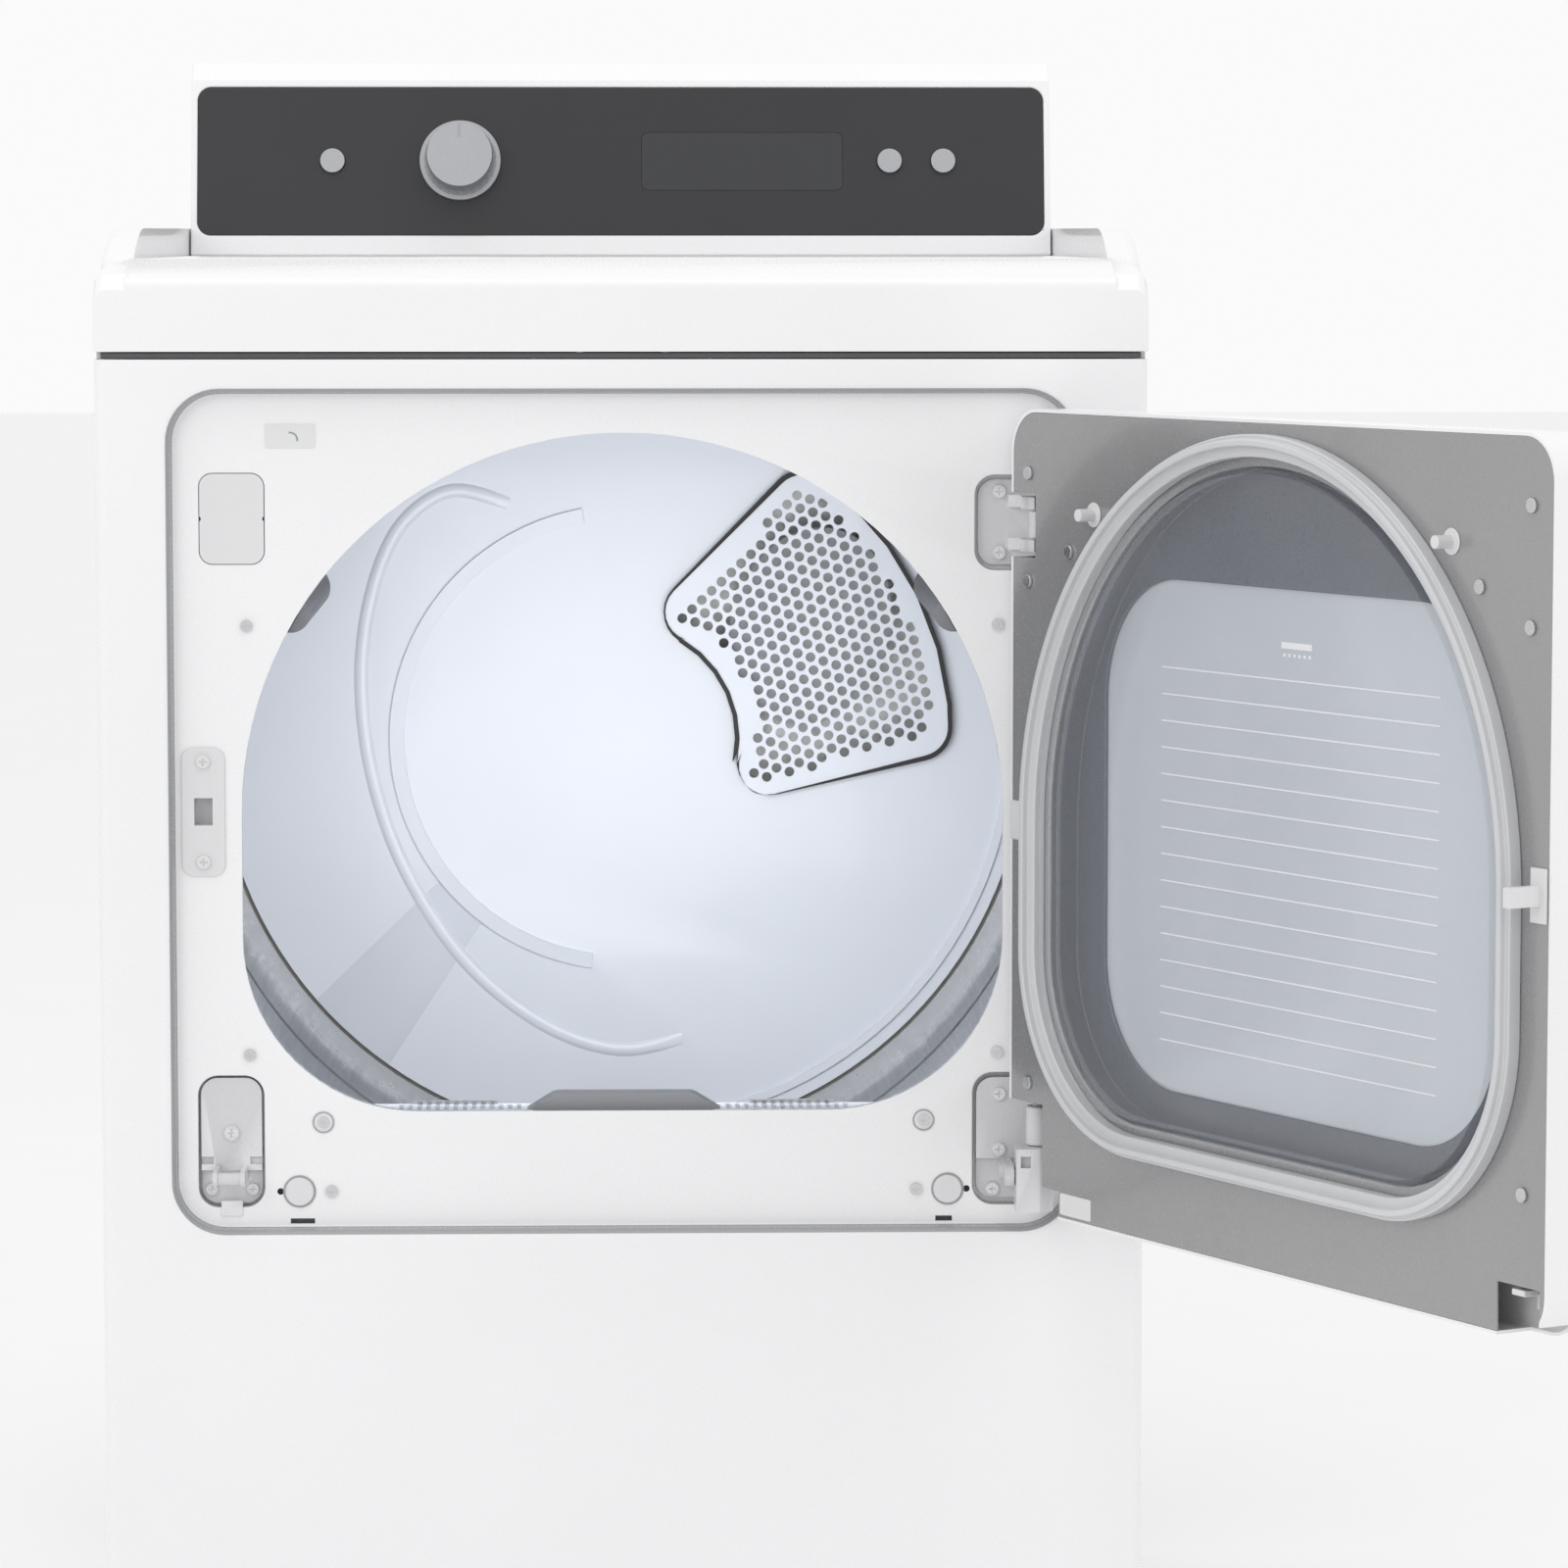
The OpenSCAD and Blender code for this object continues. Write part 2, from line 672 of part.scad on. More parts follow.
module heater_duct() {
    color(steel) difference() {
        block(duct_box_x[0], rear_y + bulk_t, duct_box_z[0], duct_box_x[1] - duct_box_x[0],
              duct_depth, duct_box_z[1] - duct_box_z[0]);
        block(duct_box_x[0] + sheet, rear_y + bulk_t + sheet, duct_box_z[0] - 1,
              duct_box_x[1] - duct_box_x[0] - 2 * sheet, duct_depth - 2 * sheet,
              duct_box_z[1] - duct_box_z[0] + 1 - sheet);
        along_y(rear_y, 10) grille_shape(-8);
    }
}

coil_r = 3;
coil_step = 30;

module heater_coil() {
    y = rear_y + bulk_t + duct_depth / 2;
    x0 = duct_box_x[0] + 30;
    x1 = duct_box_x[1] - 30;
    z0 = 345;
    color([0.75, 0.6, 0.4]) {
        for (x = [x0, x1]) block(x - 3, y - 28, z0 - 15, 6, 56, 5 * coil_step);
        for (i = [0 : 4]) rod_x(coil_r, x0 - 8, x1 - x0 + 16, y, z0 + i * coil_step);
        for (i = [0 : 3])
            block((i % 2 == 0 ? x1 : x0 - 11) + 3, y - 2, z0 + i * coil_step, 5, 4, coil_step);
    }
}

terminal_x = -236;
terminal_z = 200;
entry_r = 14.3;

module terminal_block() {
    color([0.85, 0.82, 0.7]) {
        block(terminal_x - 34, cabinet_d, terminal_z - 12, 68, 16, 24);
        for (i = [-1 : 1]) rod_y(4, cabinet_d + 16 - eps, 4, terminal_x + i * 22, terminal_z);
    }
}

module terminal_cover() {
    w = 120;
    h = 110;
    d = 34;
    t = 1.5;
    color(steel) difference() {
        union() {
            difference() {
                block(terminal_x - w / 2 + 12, cabinet_d, terminal_z - h / 2 - 10, w - 24, d, h);
                block(terminal_x - w / 2 + 12 + t, cabinet_d - 1, terminal_z - h / 2 - 10 + t,
                      w - 24 - 2 * t, d + 1 - t, h - 2 * t);
            }
            for (s = [-1, 1])
                block(terminal_x + s * (w / 2 - 6) - 7, cabinet_d, terminal_z - 10, 14, t, 20);
        }
        translate([terminal_x, cabinet_d + d / 2, terminal_z - h / 2 - 11])
            cylinder(r = entry_r, h = t + 2);
        for (s = [-1, 1]) rod_y(2.2, cabinet_d - 1, 5, terminal_x + s * 52, terminal_z);
    }
}

// ---------------------------------------------------------------- blower, motor, belt

box_x = [-118, 40];
box_z = [57, 160];

module blower_housing() {
    y = blower_y;
    t = 2;
    color([0.3, 0.31, 0.33]) difference() {
        union() {
            rod_y(wheel_r + 16, y, blower_d, motor_x, motor_z);
            block(box_x[0], y, motor_z - wheel_r - 16, motor_x - box_x[0], blower_d, 110);
        }
        rod_y(wheel_r + 14, y + t, blower_d - 2 * t, motor_x, motor_z);
        block(box_x[0] + t, y + t, motor_z - wheel_r - 14, motor_x - box_x[0] - t, blower_d - 2 * t, 106);
        rod_y(inlet_r, y - 1, 5, motor_x, motor_z);
        rod_y(motor_shaft_r + 2, y + blower_d - 5, 10, motor_x, motor_z);
        rod_y(exhaust_r - 2, y + blower_d - 5, 10, exhaust_x, exhaust_z);
    }
}

module exhaust_pipe() {
    y0 = blower_y + blower_d;
    color(steel) difference() {
        union() {
            rod_y(exhaust_r - 1, y0, cabinet_d - 2 - y0, exhaust_x, exhaust_z);
            rod_y(exhaust_r, cabinet_d - 2 - eps, exhaust_out + 2, exhaust_x, exhaust_z);
        }
        rod_y(exhaust_r - 2, y0 - 1, cabinet_d - y0 + exhaust_out + 2, exhaust_x, exhaust_z);
    }
}

module motor() {
    color([0.25, 0.26, 0.28]) difference() {
        union() {
            rod_y(motor_r, motor_y, motor_len, motor_x, motor_z);
            rod_y(20, motor_y - 12, motor_len + 24, motor_x, motor_z);
        }
        rod_y(motor_shaft_r + run_fit, motor_y - 20, motor_len + 40, motor_x, motor_z);
        for (a = [0 : 30 : 330]) translate([motor_x, motor_y - 1, motor_z]) rotate([0, a, 0])
            block(44, 0, -4, 12, 8, 8);
    }
}

idler_pivot = [motor_x - 44, motor_z - 17];

module motor_mount() {
    color(steel) difference() {
        union() {
            for (y = [motor_y - 10, motor_y + motor_len + 7])
                block(motor_x - 68, y, foot_h + sheet, 136, 3, 150);
            block(motor_x - 68, motor_y - 10, foot_h + sheet, 136, motor_len + 20, 3);
            rod_y(4, motor_y + motor_len + 10 - eps, belt_y + 20 - motor_y - motor_len - 10,
                  idler_pivot[0], idler_pivot[1]);
        }
        rod_y(20, motor_y - 20, motor_len + 60, motor_x, motor_z);
    }
}

module motor_pulley() {
    color(steel) {
        rod_y(motor_shaft_r, blower_y + 14, belt_y + belt_w + 6 - blower_y - 14, motor_x, motor_z);
        rod_y(pulley_r, belt_y - 2, belt_w + 4, motor_x, motor_z);
        for (y = [belt_y - 4, belt_y + belt_w + 2]) rod_y(pulley_r + 5, y, 2, motor_x, motor_z);
    }
}

module blower_wheel() {
    y = blower_y + 10;
    d = 56;
    color([0.85, 0.85, 0.83]) difference() {
        union() {
            rod_y(wheel_r, y + d - 3, 3, motor_x, motor_z);
            rod_y(14, y + 4, d - 5, motor_x, motor_z);
            difference() {
                rod_y(wheel_r, y, 3, motor_x, motor_z);
                rod_y(wheel_r - 14, y - 1, 5, motor_x, motor_z);
            }
            for (a = [0 : 15 : 345]) translate([motor_x, y + 1, motor_z]) rotate([0, a, 0])
                block(wheel_r - 13, 0, -1, 12, d - 2, 2);
        }
        rod_y(motor_shaft_r, y - 5, d + 10, motor_x, motor_z);
    }
}

// The belt runs round the drum and the motor pulley
belt_len = norm([motor_x, motor_z - axis_z]);
belt_dir = atan2(motor_z - axis_z, motor_x);
belt_wrap = acos((belt_r - pulley_r - 0.3) / belt_len);
function belt_outline(g) = concat(
    arc([0, axis_z], belt_r + g, belt_dir + belt_wrap, belt_dir - belt_wrap + 360, 96),
    arc([motor_x, motor_z], pulley_r + 0.3 + g, belt_dir - belt_wrap, belt_dir + belt_wrap, 12));

module drum_belt() {
    color(dark) along_y(belt_y, belt_w) difference() {
        polygon(belt_outline(belt_t));
        polygon(belt_outline(0));
    }
}

// The idler presses on the outside of the belt's long span
span_a = [belt_r * cos(belt_dir - belt_wrap), axis_z + belt_r * sin(belt_dir - belt_wrap)];
span_dir = [sin(belt_dir - belt_wrap), -cos(belt_dir - belt_wrap)] * -1;
span_out = [cos(belt_dir - belt_wrap), sin(belt_dir - belt_wrap)];
span_len = sqrt(belt_len * belt_len - pow(belt_r - pulley_r - 0.3, 2));
idler_at = span_a + span_dir * (span_len - 92) + span_out * (belt_t + gap + idler_r);

module idler_arm() {
    y = belt_y + belt_w + 6;
    v = idler_at - idler_pivot;
    color(steel) difference() {
        union() {
            translate([idler_pivot[0], y, idler_pivot[1]]) rotate([0, -atan2(v[1], v[0]), 0])
                block(0, 0, -7, norm(v), 3, 14);
            rod_y(10, y, 3, idler_pivot[0], idler_pivot[1]);
            rod_y(8, y, 3, idler_at[0], idler_at[1]);
            rod_y(pin_r, belt_y - 4, y - belt_y + 5, idler_at[0], idler_at[1]);
            block(idler_at[0] - 26, y, idler_at[1] - 3, 24, 3, 6);
        }
        rod_y(4 + run_fit, y - 1, 5, idler_pivot[0], idler_pivot[1]);
        rod_y(1.5, y - 1, 5, idler_at[0] - 22, idler_at[1]);
    }
}

module idler_pulley() {
    color([0.85, 0.85, 0.83]) difference() {
        union() {
            rod_y(idler_r, belt_y - 2, belt_w + 4, idler_at[0], idler_at[1]);
            rod_y(idler_r - 6, belt_y - 3, belt_w + 8, idler_at[0], idler_at[1]);
        }
        rod_y(pin_r + run_fit, belt_y - 6, belt_w + 14, idler_at[0], idler_at[1]);
    }
}

module idler_spring() {
    z0 = foot_h + 12;
    y = belt_y + belt_w + 7.5;
    color(steel) translate([idler_at[0] - 22, y, z0])
        linear_extrude(height = idler_at[1] - 8 - z0, twist = -360 * 12, slices = 144, $fn = 8)
            translate([5, 0]) circle(1.4, $fn = 8);
}

// ---------------------------------------------------------------- drum and rollers

// Half section of the drum, as radius and distance along the axis
bead = 5;
bead_at = [[150, 166], [484, 498]];
function bead_line(r, at) =
    [for (b = at, k = [0 : 6])
        [r + bead * sin(30 * k), b[0] + (b[1] - b[0]) * k / 6]];
function reversed(v) = [for (i = [len(v) - 1 : -1 : 0]) v[i]];

module drum() {
    r0 = collar_r + felt_t + gap;
    r1 = disc_r + 3.5;
    y1 = drum_end + drum_wall;
    color([0.62, 0.63, 0.65]) translate([0, 0, axis_z]) rotate([-90, 0, 0]) rotate_extrude()
        polygon(concat(
            [[r0, flange_y + drum_wall], [drum_r, flange_y + drum_wall]],
            bead_line(drum_r, bead_at),
            [[drum_r, drum_end], [r1, drum_end], [r1, y1], [drum_r + drum_wall, y1]],
            reversed(bead_line(drum_r + drum_wall, bead_at)),
            [[drum_r + drum_wall, flange_y], [r0, flange_y]]));
}

// Three hollow lifters, of full height in front and falling away to the rear
lifter_y0 = flange_y + 30;
lifter_y1 = drum_end - 60;

module lifter_body(t) {
    tip = drum_r - lifter_h + t;
    intersection() {
        along_y(lifter_y0 + t, lifter_y1 - lifter_y0 - 2 * t) polygon(concat(
            [[drum_r + 2, t - 40]], arc([tip + 12 - t, 0], 12 - t, 250, 110, 10),
            [[drum_r + 2, 40 - t]]));
        translate([0, 0, -50]) linear_extrude(100) polygon([
            [drum_r + 2, lifter_y0], [tip + 8, lifter_y0 + t], [tip, lifter_y0 + 8 + t],
            [tip, 350], [drum_r - 24 + t, lifter_y1 - t], [drum_r + 2, lifter_y1 - t]]);
        rod_y(drum_r + (t > 0 ? 1 : 0), lifter_y0, lifter_y1 - lifter_y0);
    }
}

module drum_lifters() {
    color(dark) for (a = [30, 150, 270])
        translate([0, 0, axis_z]) rotate([0, -a, 0]) difference() {
            lifter_body(0);
            lifter_body(2.5);
        }
}

module roller(x, y) {
    color(dark) difference() {
        union() {
            rod_y(roller_r, y + 2, roller_w - 4, x, roller_z);
            rod_y(roller_r - 3, y, roller_w, x, roller_z);
        }
        rod_y(shaft_r + run_fit, y - 1, roller_w + 2, x, roller_z);
    }
}

module front_roller_left() { roller(-roller_x, front_roller_y); }
module front_roller_right() { roller(roller_x, front_roller_y); }
module rear_roller_left() { roller(-roller_x, rear_roller_y); }
module rear_roller_right() { roller(roller_x, rear_roller_y); }

module roller_shafts() {
    color(steel) for (s = [-1, 1]) {
        rod_y(shaft_r, bulk_y - 4, front_roller_y + roller_w + 6 - bulk_y, s * roller_x, roller_z);
        rod_y(shaft_r + 3, bulk_y + bulk_t, front_roller_y - 1 - bulk_y - bulk_t, s * roller_x, roller_z);
        rod_y(shaft_r, rear_roller_y - 2, rear_y + 4 - rear_roller_y, s * roller_x, roller_z);
        rod_y(shaft_r + 3, rear_roller_y + roller_w + 1, rear_y - rear_roller_y - roller_w - 1,
              s * roller_x, roller_z);
    }
}

// ---------------------------------------------------------------- front hardware

bumper_x = recess_w / 2 - 80;
bumper_z = recess_z - recess_h / 2 + 24;
panel_screw_at = [for (s = [-1, 1])
    each [[s * 246, axis_z + 124], [s * 246, axis_z - 159], [s * 198, axis_z - 204],
          [s * (bumper_x - 21), bumper_z]]];

module door_bumpers() {
    color([0.98, 0.98, 0.98]) for (s = [-1, 1]) {
        rod_y(9.5, recess_d - 2, 2, s * bumper_x, bumper_z);
        rod_y(6, recess_d - eps, 8, s * bumper_x, bumper_z);
    }
}

module panel_screws() {
    color(steel) for (p = panel_screw_at) pan_screw(p[0], recess_d, p[1], 4, 8);
}

module cover_plate() {
    color([0.85, 0.85, 0.86]) difference() {
        along_y(recess_d - 0.8, 2) translate([plate_x, plate_z]) rrect(42, 59, 8.5);
        for (s = [-1, 1]) rod_y(1.5, recess_d - 2, 4, plate_x + s * 21.5, plate_z);
    }
    color([0.85, 0.85, 0.86]) block(plate_x - 16, recess_d + 1, plate_z - 24, 32, 8, 48);
}

slot_w = 12;
slot_h = 18;

module strike_plate() {
    color([0.83, 0.83, 0.84]) difference() {
        union() {
            along_y(recess_d - 1.5, 1.5) translate([strike_x, strike_z]) rrect(28, 85, 8);
            block(strike_x - 9.8, recess_d - eps, strike_z - 22.8, 19.6, 13.4, 45.6);
        }
        block(strike_x - slot_w / 2, recess_d - 3, strike_z - slot_h / 2, slot_w, 15.4, slot_h);
    }
    color(steel) for (s = [-1, 1]) pan_screw(strike_x, recess_d - 1.5, strike_z + s * 33, 4.5, 1.4);
}

// Upper right: two lugs with slots open to the front take the door's upper pin
lug_t = 8;
lug_gap = 20;

module hook_bracket() {
    color([0.84, 0.84, 0.85]) difference() {
        union() {
            along_y(pocket_floor - 3, 3) translate([pocket_x - 4, hook_z]) rrect(pocket_w - 12, hook_h - 6, 11);
            for (s = [-1, 1]) translate([0, 0, hook_z + s * (lug_gap + lug_t) / 2 - lug_t / 2]) {
                block(pocket_x - 4, pocket_floor - 8, 0, pivot_x - 2 - pocket_x, 8, lug_t);
                block(pivot_x - 12, pivot_y, 0, 10, pocket_floor - pivot_y - 1, lug_t);
                translate([pivot_x, pivot_y, 0]) cylinder(r = 8, h = lug_t);
            }
        }
        translate([pivot_x, pivot_y, hook_z - 30]) cylinder(r = pin_r + 0.4, h = 60);
        block(pivot_x - pin_r - 0.4, pivot_y - 12, hook_z - 30, 2 * pin_r + 0.8, 12, 60);
    }
    color(steel) for (s = [-1, 1]) pan_screw(pocket_x - 10, pocket_floor - 3, hook_z + s * 20, 4.5, 2.9);
}

// Lower right: a forward lug carries the level pin that the knuckle tilts on
lug_x = pivot_x - 22;

module lower_bracket() {
    color([0.84, 0.84, 0.85]) {
        along_y(pocket_floor - 3, 3) translate([pocket_x - 4, low_z]) rrect(pocket_w - 12, low_h - 6, 11);
        along_y(pocket_floor - 7, 5) intersection() {
            translate([pocket_x - 4, low_z]) rrect(pocket_w - 12, low_h - 6, 11);
            translate([pocket_x - 30, tilt_z + 7]) square([54, 90]);
        }
        block(lug_x, tilt_y, tilt_z - 7, 6, pocket_floor - tilt_y - 1, 14);
        rod_x(7, lug_x, 6, tilt_y, tilt_z);
        rod_x(pin_r, lug_x + 3, barrel_x1 - lug_x - 3, tilt_y, tilt_z);
        rod_x(5, notch_x + 1.5, lug_x - notch_x, 4, tilt_z);
    }
    color(steel) {
        for (z = [tilt_z + 13, tilt_z + 50]) pan_screw(pocket_x - 9, pocket_floor - 7, z, 4.5, 4.5);
        pan_screw(pocket_x - 13, pocket_floor - 3, tilt_z - 14, 4.5, 2.9);
    }
}

// Lower left: a level pin that the door's open hook drops onto when it tilts
module hinge_receiver() {
    color([0.84, 0.84, 0.85]) difference() {
        union() {
            along_y(pocket_floor - 3, 3) translate([recv_x, low_z]) rrect(recv_w - 3, low_h - 3, 11);
            along_y(pocket_floor - 7, 5) intersection() {
                translate([recv_x, low_z]) rrect(recv_w - 3, low_h - 3, 11);
                translate([recv_x - 30, tilt_z + 1]) square([60, 90]);
            }
            for (s = [-1, 1]) {
                block(recv_x + s * 9 - 1.5, tilt_y, tilt_z - 5, 3, pocket_floor - tilt_y - 1, 10);
                rod_x(5, recv_x + s * 9 - 1.5, 3, tilt_y, tilt_z);
            }
            rod_x(pin_r, recv_x - 9, 18, tilt_y, tilt_z);
            block(recv_x - 7, recess_d - 1.2, low_z - low_h / 2 - 6, 14, 1.2, 10);
            block(recv_x - 7, recess_d - 1.2, low_z - low_h / 2 + 0.5, 14, pocket_d, 3);
        }
        for (x = [recv_x - 21, recv_x + 12]) block(x, pocket_floor - 9, tilt_z + 5, 9, 5, 5);
    }
    color(steel) {
        pan_screw(recv_x, pocket_floor - 7, tilt_z + 26, 5, 4.5);
        for (s = [-1, 1]) pan_screw(recv_x + s * 13.5, pocket_floor - 3, tilt_z - 12, 4, 2.9);
    }
}

// ---------------------------------------------------------------- door

// The knuckle tilts on the bracket's level pin and carries the upright pin of the door.
// It keeps close round the pivot, so that the door's skin swings past it.
block_x0 = lug_x + 7;
barrel_x1 = pivot_x - 1;
knuckle_r = 10;
block_top = door_z0 + 40.5;
block_bot = door_z0 - 1.5;
corner_cut = 46;
barrel_h = 26;
notch_x = lug_x - 4;
notch_z = block_top + 2 + barrel_h + 4;

module hinge_knuckle() {
    h = block_top - block_bot;
    color([0.84, 0.84, 0.85]) difference() {
        union() {
            block(block_x0, pivot_y - knuckle_r, block_bot, pivot_x - block_x0, 2 * knuckle_r, h);
            translate([pivot_x, pivot_y, block_bot]) cylinder(r = knuckle_r, h = h);
            rod_x(8.5, block_x0, barrel_x1 - block_x0, tilt_y, tilt_z);
            translate([pivot_x, pivot_y, block_top - eps]) cylinder(r = pin_r, h = barrel_h + 5);
            translate([pivot_x, pivot_y, block_top - eps]) cylinder(r = 8, h = 1);
        }
        rod_x(pin_r + run_fit, block_x0 - 1, 40, tilt_y, tilt_z);
        block(block_x0 + 3, pivot_y - knuckle_r - 1, block_top - 12.5, 6.5, 5, 7.5);
    }
}

module door_shape(g = 0) {
    translate([0, door_z]) rrect(door_w + 2 * g, door_h + 2 * g, door_r + g);
}

// Cuts that clear the hinge hardware at the door's hinge side
module hinge_notches(y0 = -40) {
    y = max(y0, door_out_y + 2.5);
    block(notch_x, y, door_z0 - 5, 60, 60, notch_z - door_z0 + 5);
    block(pivot_x - 15, y, hook_z - 21, 60, 60, 42);
    block(recv_x - 20, y, door_z0 - 5, 40, 60, tilt_z + 15 - door_z0);
    // The lower corner is cut right through, so that the door can tilt past the panel
    block(pivot_x - corner_cut, door_out_y - 10, door_z0 - 5, corner_cut + 60, 60, tilt_z + 2 - door_z0);
}

module door_outer_panel() {
    t = 2;
    color(white) door_open() difference() {
        along_y(door_out_y, door_t) door_shape();
        along_y(door_out_y + t, door_t) door_shape(-t);
        along_y(door_out_y - 1, 10) translate([0, axis_z - 1])
            rrect(window_w + 40, window_h + 40, 90);
        hinge_notches();
    }
}

module window_glass() {
    color([0.25, 0.28, 0.32, 0.6]) door_open() along_y(door_out_y - 0.5, 4) translate([0, axis_z - 1])
        rrect(window_w + 39, window_h + 39, 89.5);
}

// A deep pan between the clear liner and the outer window
module window_frame() {
    y0 = door_out_y + 3.5;
    color([0.22, 0.24, 0.30]) door_open() difference() {
        along_y(y0, door_in_y - 5.5 - y0) arch_shape(-9);
        along_y(y0 + 2.5, 40) arch_shape(-11.5);
        along_y(y0 - 1, 10) translate([0, axis_z - 1]) rrect(window_w, window_h, 80);
    }
}

module door_inner_panel() {
    t = 1.5;
    color(grey) door_open() difference() {
        along_y(door_in_y - t, t) door_shape(-2 - 0.1);
        along_y(door_in_y - 10, 20) arch_shape(-12);
        hinge_notches();
    }
}

module liner_glass() {
    t = 4;
    color([0.8, 0.83, 0.86, 0.35]) door_open() difference() {
        union() {
            along_y(door_in_y - 5.5, t) arch_shape(-5);
            along_y(door_in_y - 5.5, 14) arch_shape(-12.4);
        }
        along_y(door_in_y - 6.5, 14 + 1 - t) arch_shape(-16);
    }
}

module door_gasket() {
    y1 = recess_d - gap;
    color([0.7, 0.71, 0.72]) door_open() difference() {
        union() {
            along_y(door_in_y, 9) arch_shape(8);
            along_y(door_in_y, y1 - door_in_y) arch_shape(5);
        }
        along_y(door_in_y - 1, 20) arch_shape(-6);
        along_y(y1 - 5, 20) arch_shape(0.6);
    }
}

// Upper knuckle with its pin, lower barrel, and the plates that hold them to the door's skin
module door_hinge_leaf() {
    skin_y = door_out_y + 2;
    leaf_x = pivot_x - 33;
    arm_y = pivot_y - 6;
    color([0.84, 0.84, 0.85]) door_open() difference() {
        union() {
            translate([pivot_x, pivot_y, hook_z - lug_gap / 2 + 1.2]) cylinder(r = 7.5, h = lug_gap - 2.4);
            translate([pivot_x, pivot_y, hook_z - lug_gap / 2 - lug_t]) cylinder(r = pin_r, h = lug_gap + 2 * lug_t);
            block(leaf_x, arm_y, hook_z - lug_gap / 2 + 1.2, 29, 6, lug_gap - 2.4);
            block(leaf_x, skin_y, hook_z - 26, 12, arm_y + 6 - skin_y, 52);
            translate([pivot_x, pivot_y, block_top + 1.5]) cylinder(r = 8, h = barrel_h);
            block(leaf_x, arm_y, block_top + 1.5, 31, 6, barrel_h);
            block(leaf_x, skin_y, block_top - 6, 12, arm_y + 6 - skin_y, 62);
        }
        translate([pivot_x, pivot_y, block_top - 10]) cylinder(r = pin_r + run_fit, h = barrel_h + 30);
    }
}

// Latch prong, tilt hook, stop pegs and screws on the inner face
module door_fittings() {
    color([0.9, 0.9, 0.9]) door_open() {
        block(strike_x - 3, door_in_y, strike_z - 6, 6, recess_d + 11 - door_in_y, 12);
        block(strike_x - 7, door_in_y, strike_z - 16, 14, 2, 32);
        difference() {
            block(recv_x - 6, door_out_y + 2, tilt_z - 6, 12, door_t - 2, 14);
            block(recv_x - 7, tilt_y - pin_r - gap, tilt_z - 7, 14, 20, 7 + pin_r + gap);
        }
        for (s = [-1, 1]) rod_y(4, door_in_y, 13, s * 188, hook_z + 10);
        for (s = [-1, 1]) rod_y(8, door_in_y, 1, s * 188, hook_z + 10);
    }
    color(steel) door_open() for (p = door_screw_at) rod_y(4.5, door_in_y, 2.2, p[0], p[1]);
}

door_screw_at = [for (s = [-1, 1])
    each [[s * 264, axis_z + 225], [s * 264, axis_z + 155], [s * 216, axis_z + 176],
          [s * 262, axis_z - 173]]];

side_panel_left();
side_panel_right();
rear_panel();
front_panel();
base_pan();
top_cover();
leveling_feet();
console_housing();
console_fascia();
display_lens();
control_board();
front_bulkhead();
lint_duct();
rear_bulkhead();
vent_grille();
grille_gasket();
drum_felts();
strike_plate();
cover_plate();
hook_bracket();
lower_bracket();
hinge_receiver();
door_bumpers();
panel_screws();
heater_duct();
heater_coil();
terminal_block();
terminal_cover();
exhaust_pipe();
blower_housing();
motor();
motor_mount();
roller_shafts();
drum_belt();
moisture_bars();
idler_spring();
drum();
drum_lifters();
motor_pulley();
blower_wheel();
idler_arm();
idler_pulley();
front_roller_left();
front_roller_right();
rear_roller_left();
rear_roller_right();
lint_filter();
selector_knob();
power_button();
start_button();
option_button();
hinge_knuckle();
door_outer_panel();
window_glass();
window_frame();
door_inner_panel();
liner_glass();
door_gasket();
door_hinge_leaf();
door_fittings();
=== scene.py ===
"""A two-way-door tumble dryer in a plain studio, its door standing open on the drum."""
import json
import math
import bmesh
import bpy
from mathutils import Matrix, Vector


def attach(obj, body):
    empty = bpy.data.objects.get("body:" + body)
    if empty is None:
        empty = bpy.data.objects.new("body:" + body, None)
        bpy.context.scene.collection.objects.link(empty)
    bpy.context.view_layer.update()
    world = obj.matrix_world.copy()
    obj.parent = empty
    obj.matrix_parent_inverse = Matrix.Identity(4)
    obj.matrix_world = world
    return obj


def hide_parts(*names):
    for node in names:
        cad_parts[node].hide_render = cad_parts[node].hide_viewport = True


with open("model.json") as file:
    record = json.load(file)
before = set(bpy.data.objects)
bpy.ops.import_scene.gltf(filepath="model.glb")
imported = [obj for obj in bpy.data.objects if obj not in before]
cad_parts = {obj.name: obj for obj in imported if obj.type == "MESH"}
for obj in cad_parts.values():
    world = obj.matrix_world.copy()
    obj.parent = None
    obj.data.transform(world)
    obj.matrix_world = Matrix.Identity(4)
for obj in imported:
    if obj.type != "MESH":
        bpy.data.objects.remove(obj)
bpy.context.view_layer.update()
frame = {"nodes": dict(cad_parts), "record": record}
scene = bpy.context.scene
nodes = frame["nodes"]

# Lengths are in metres and angles in degrees throughout

# ------------------------------------------------------------------ finishes

DRIFT_SCALE = 4.0  # size of the slow drift of tone
RELIEF_DEPTH = 0.001
COAT_ROUGHNESS = 0.08
EDGE_POINTINESS = (0.52, 0.62)  # from a flat face to a worn edge


def noise_of(tree, coords, scale, detail, rough=0.55):
    """A noise texture's value, from 0 to 1."""
    noise = tree.nodes.new("ShaderNodeTexNoise")
    noise.inputs["Scale"].default_value = scale
    noise.inputs["Detail"].default_value = detail
    noise.inputs["Roughness"].default_value = rough
    tree.links.new(coords, noise.inputs["Vector"])
    return noise.outputs["Fac"]


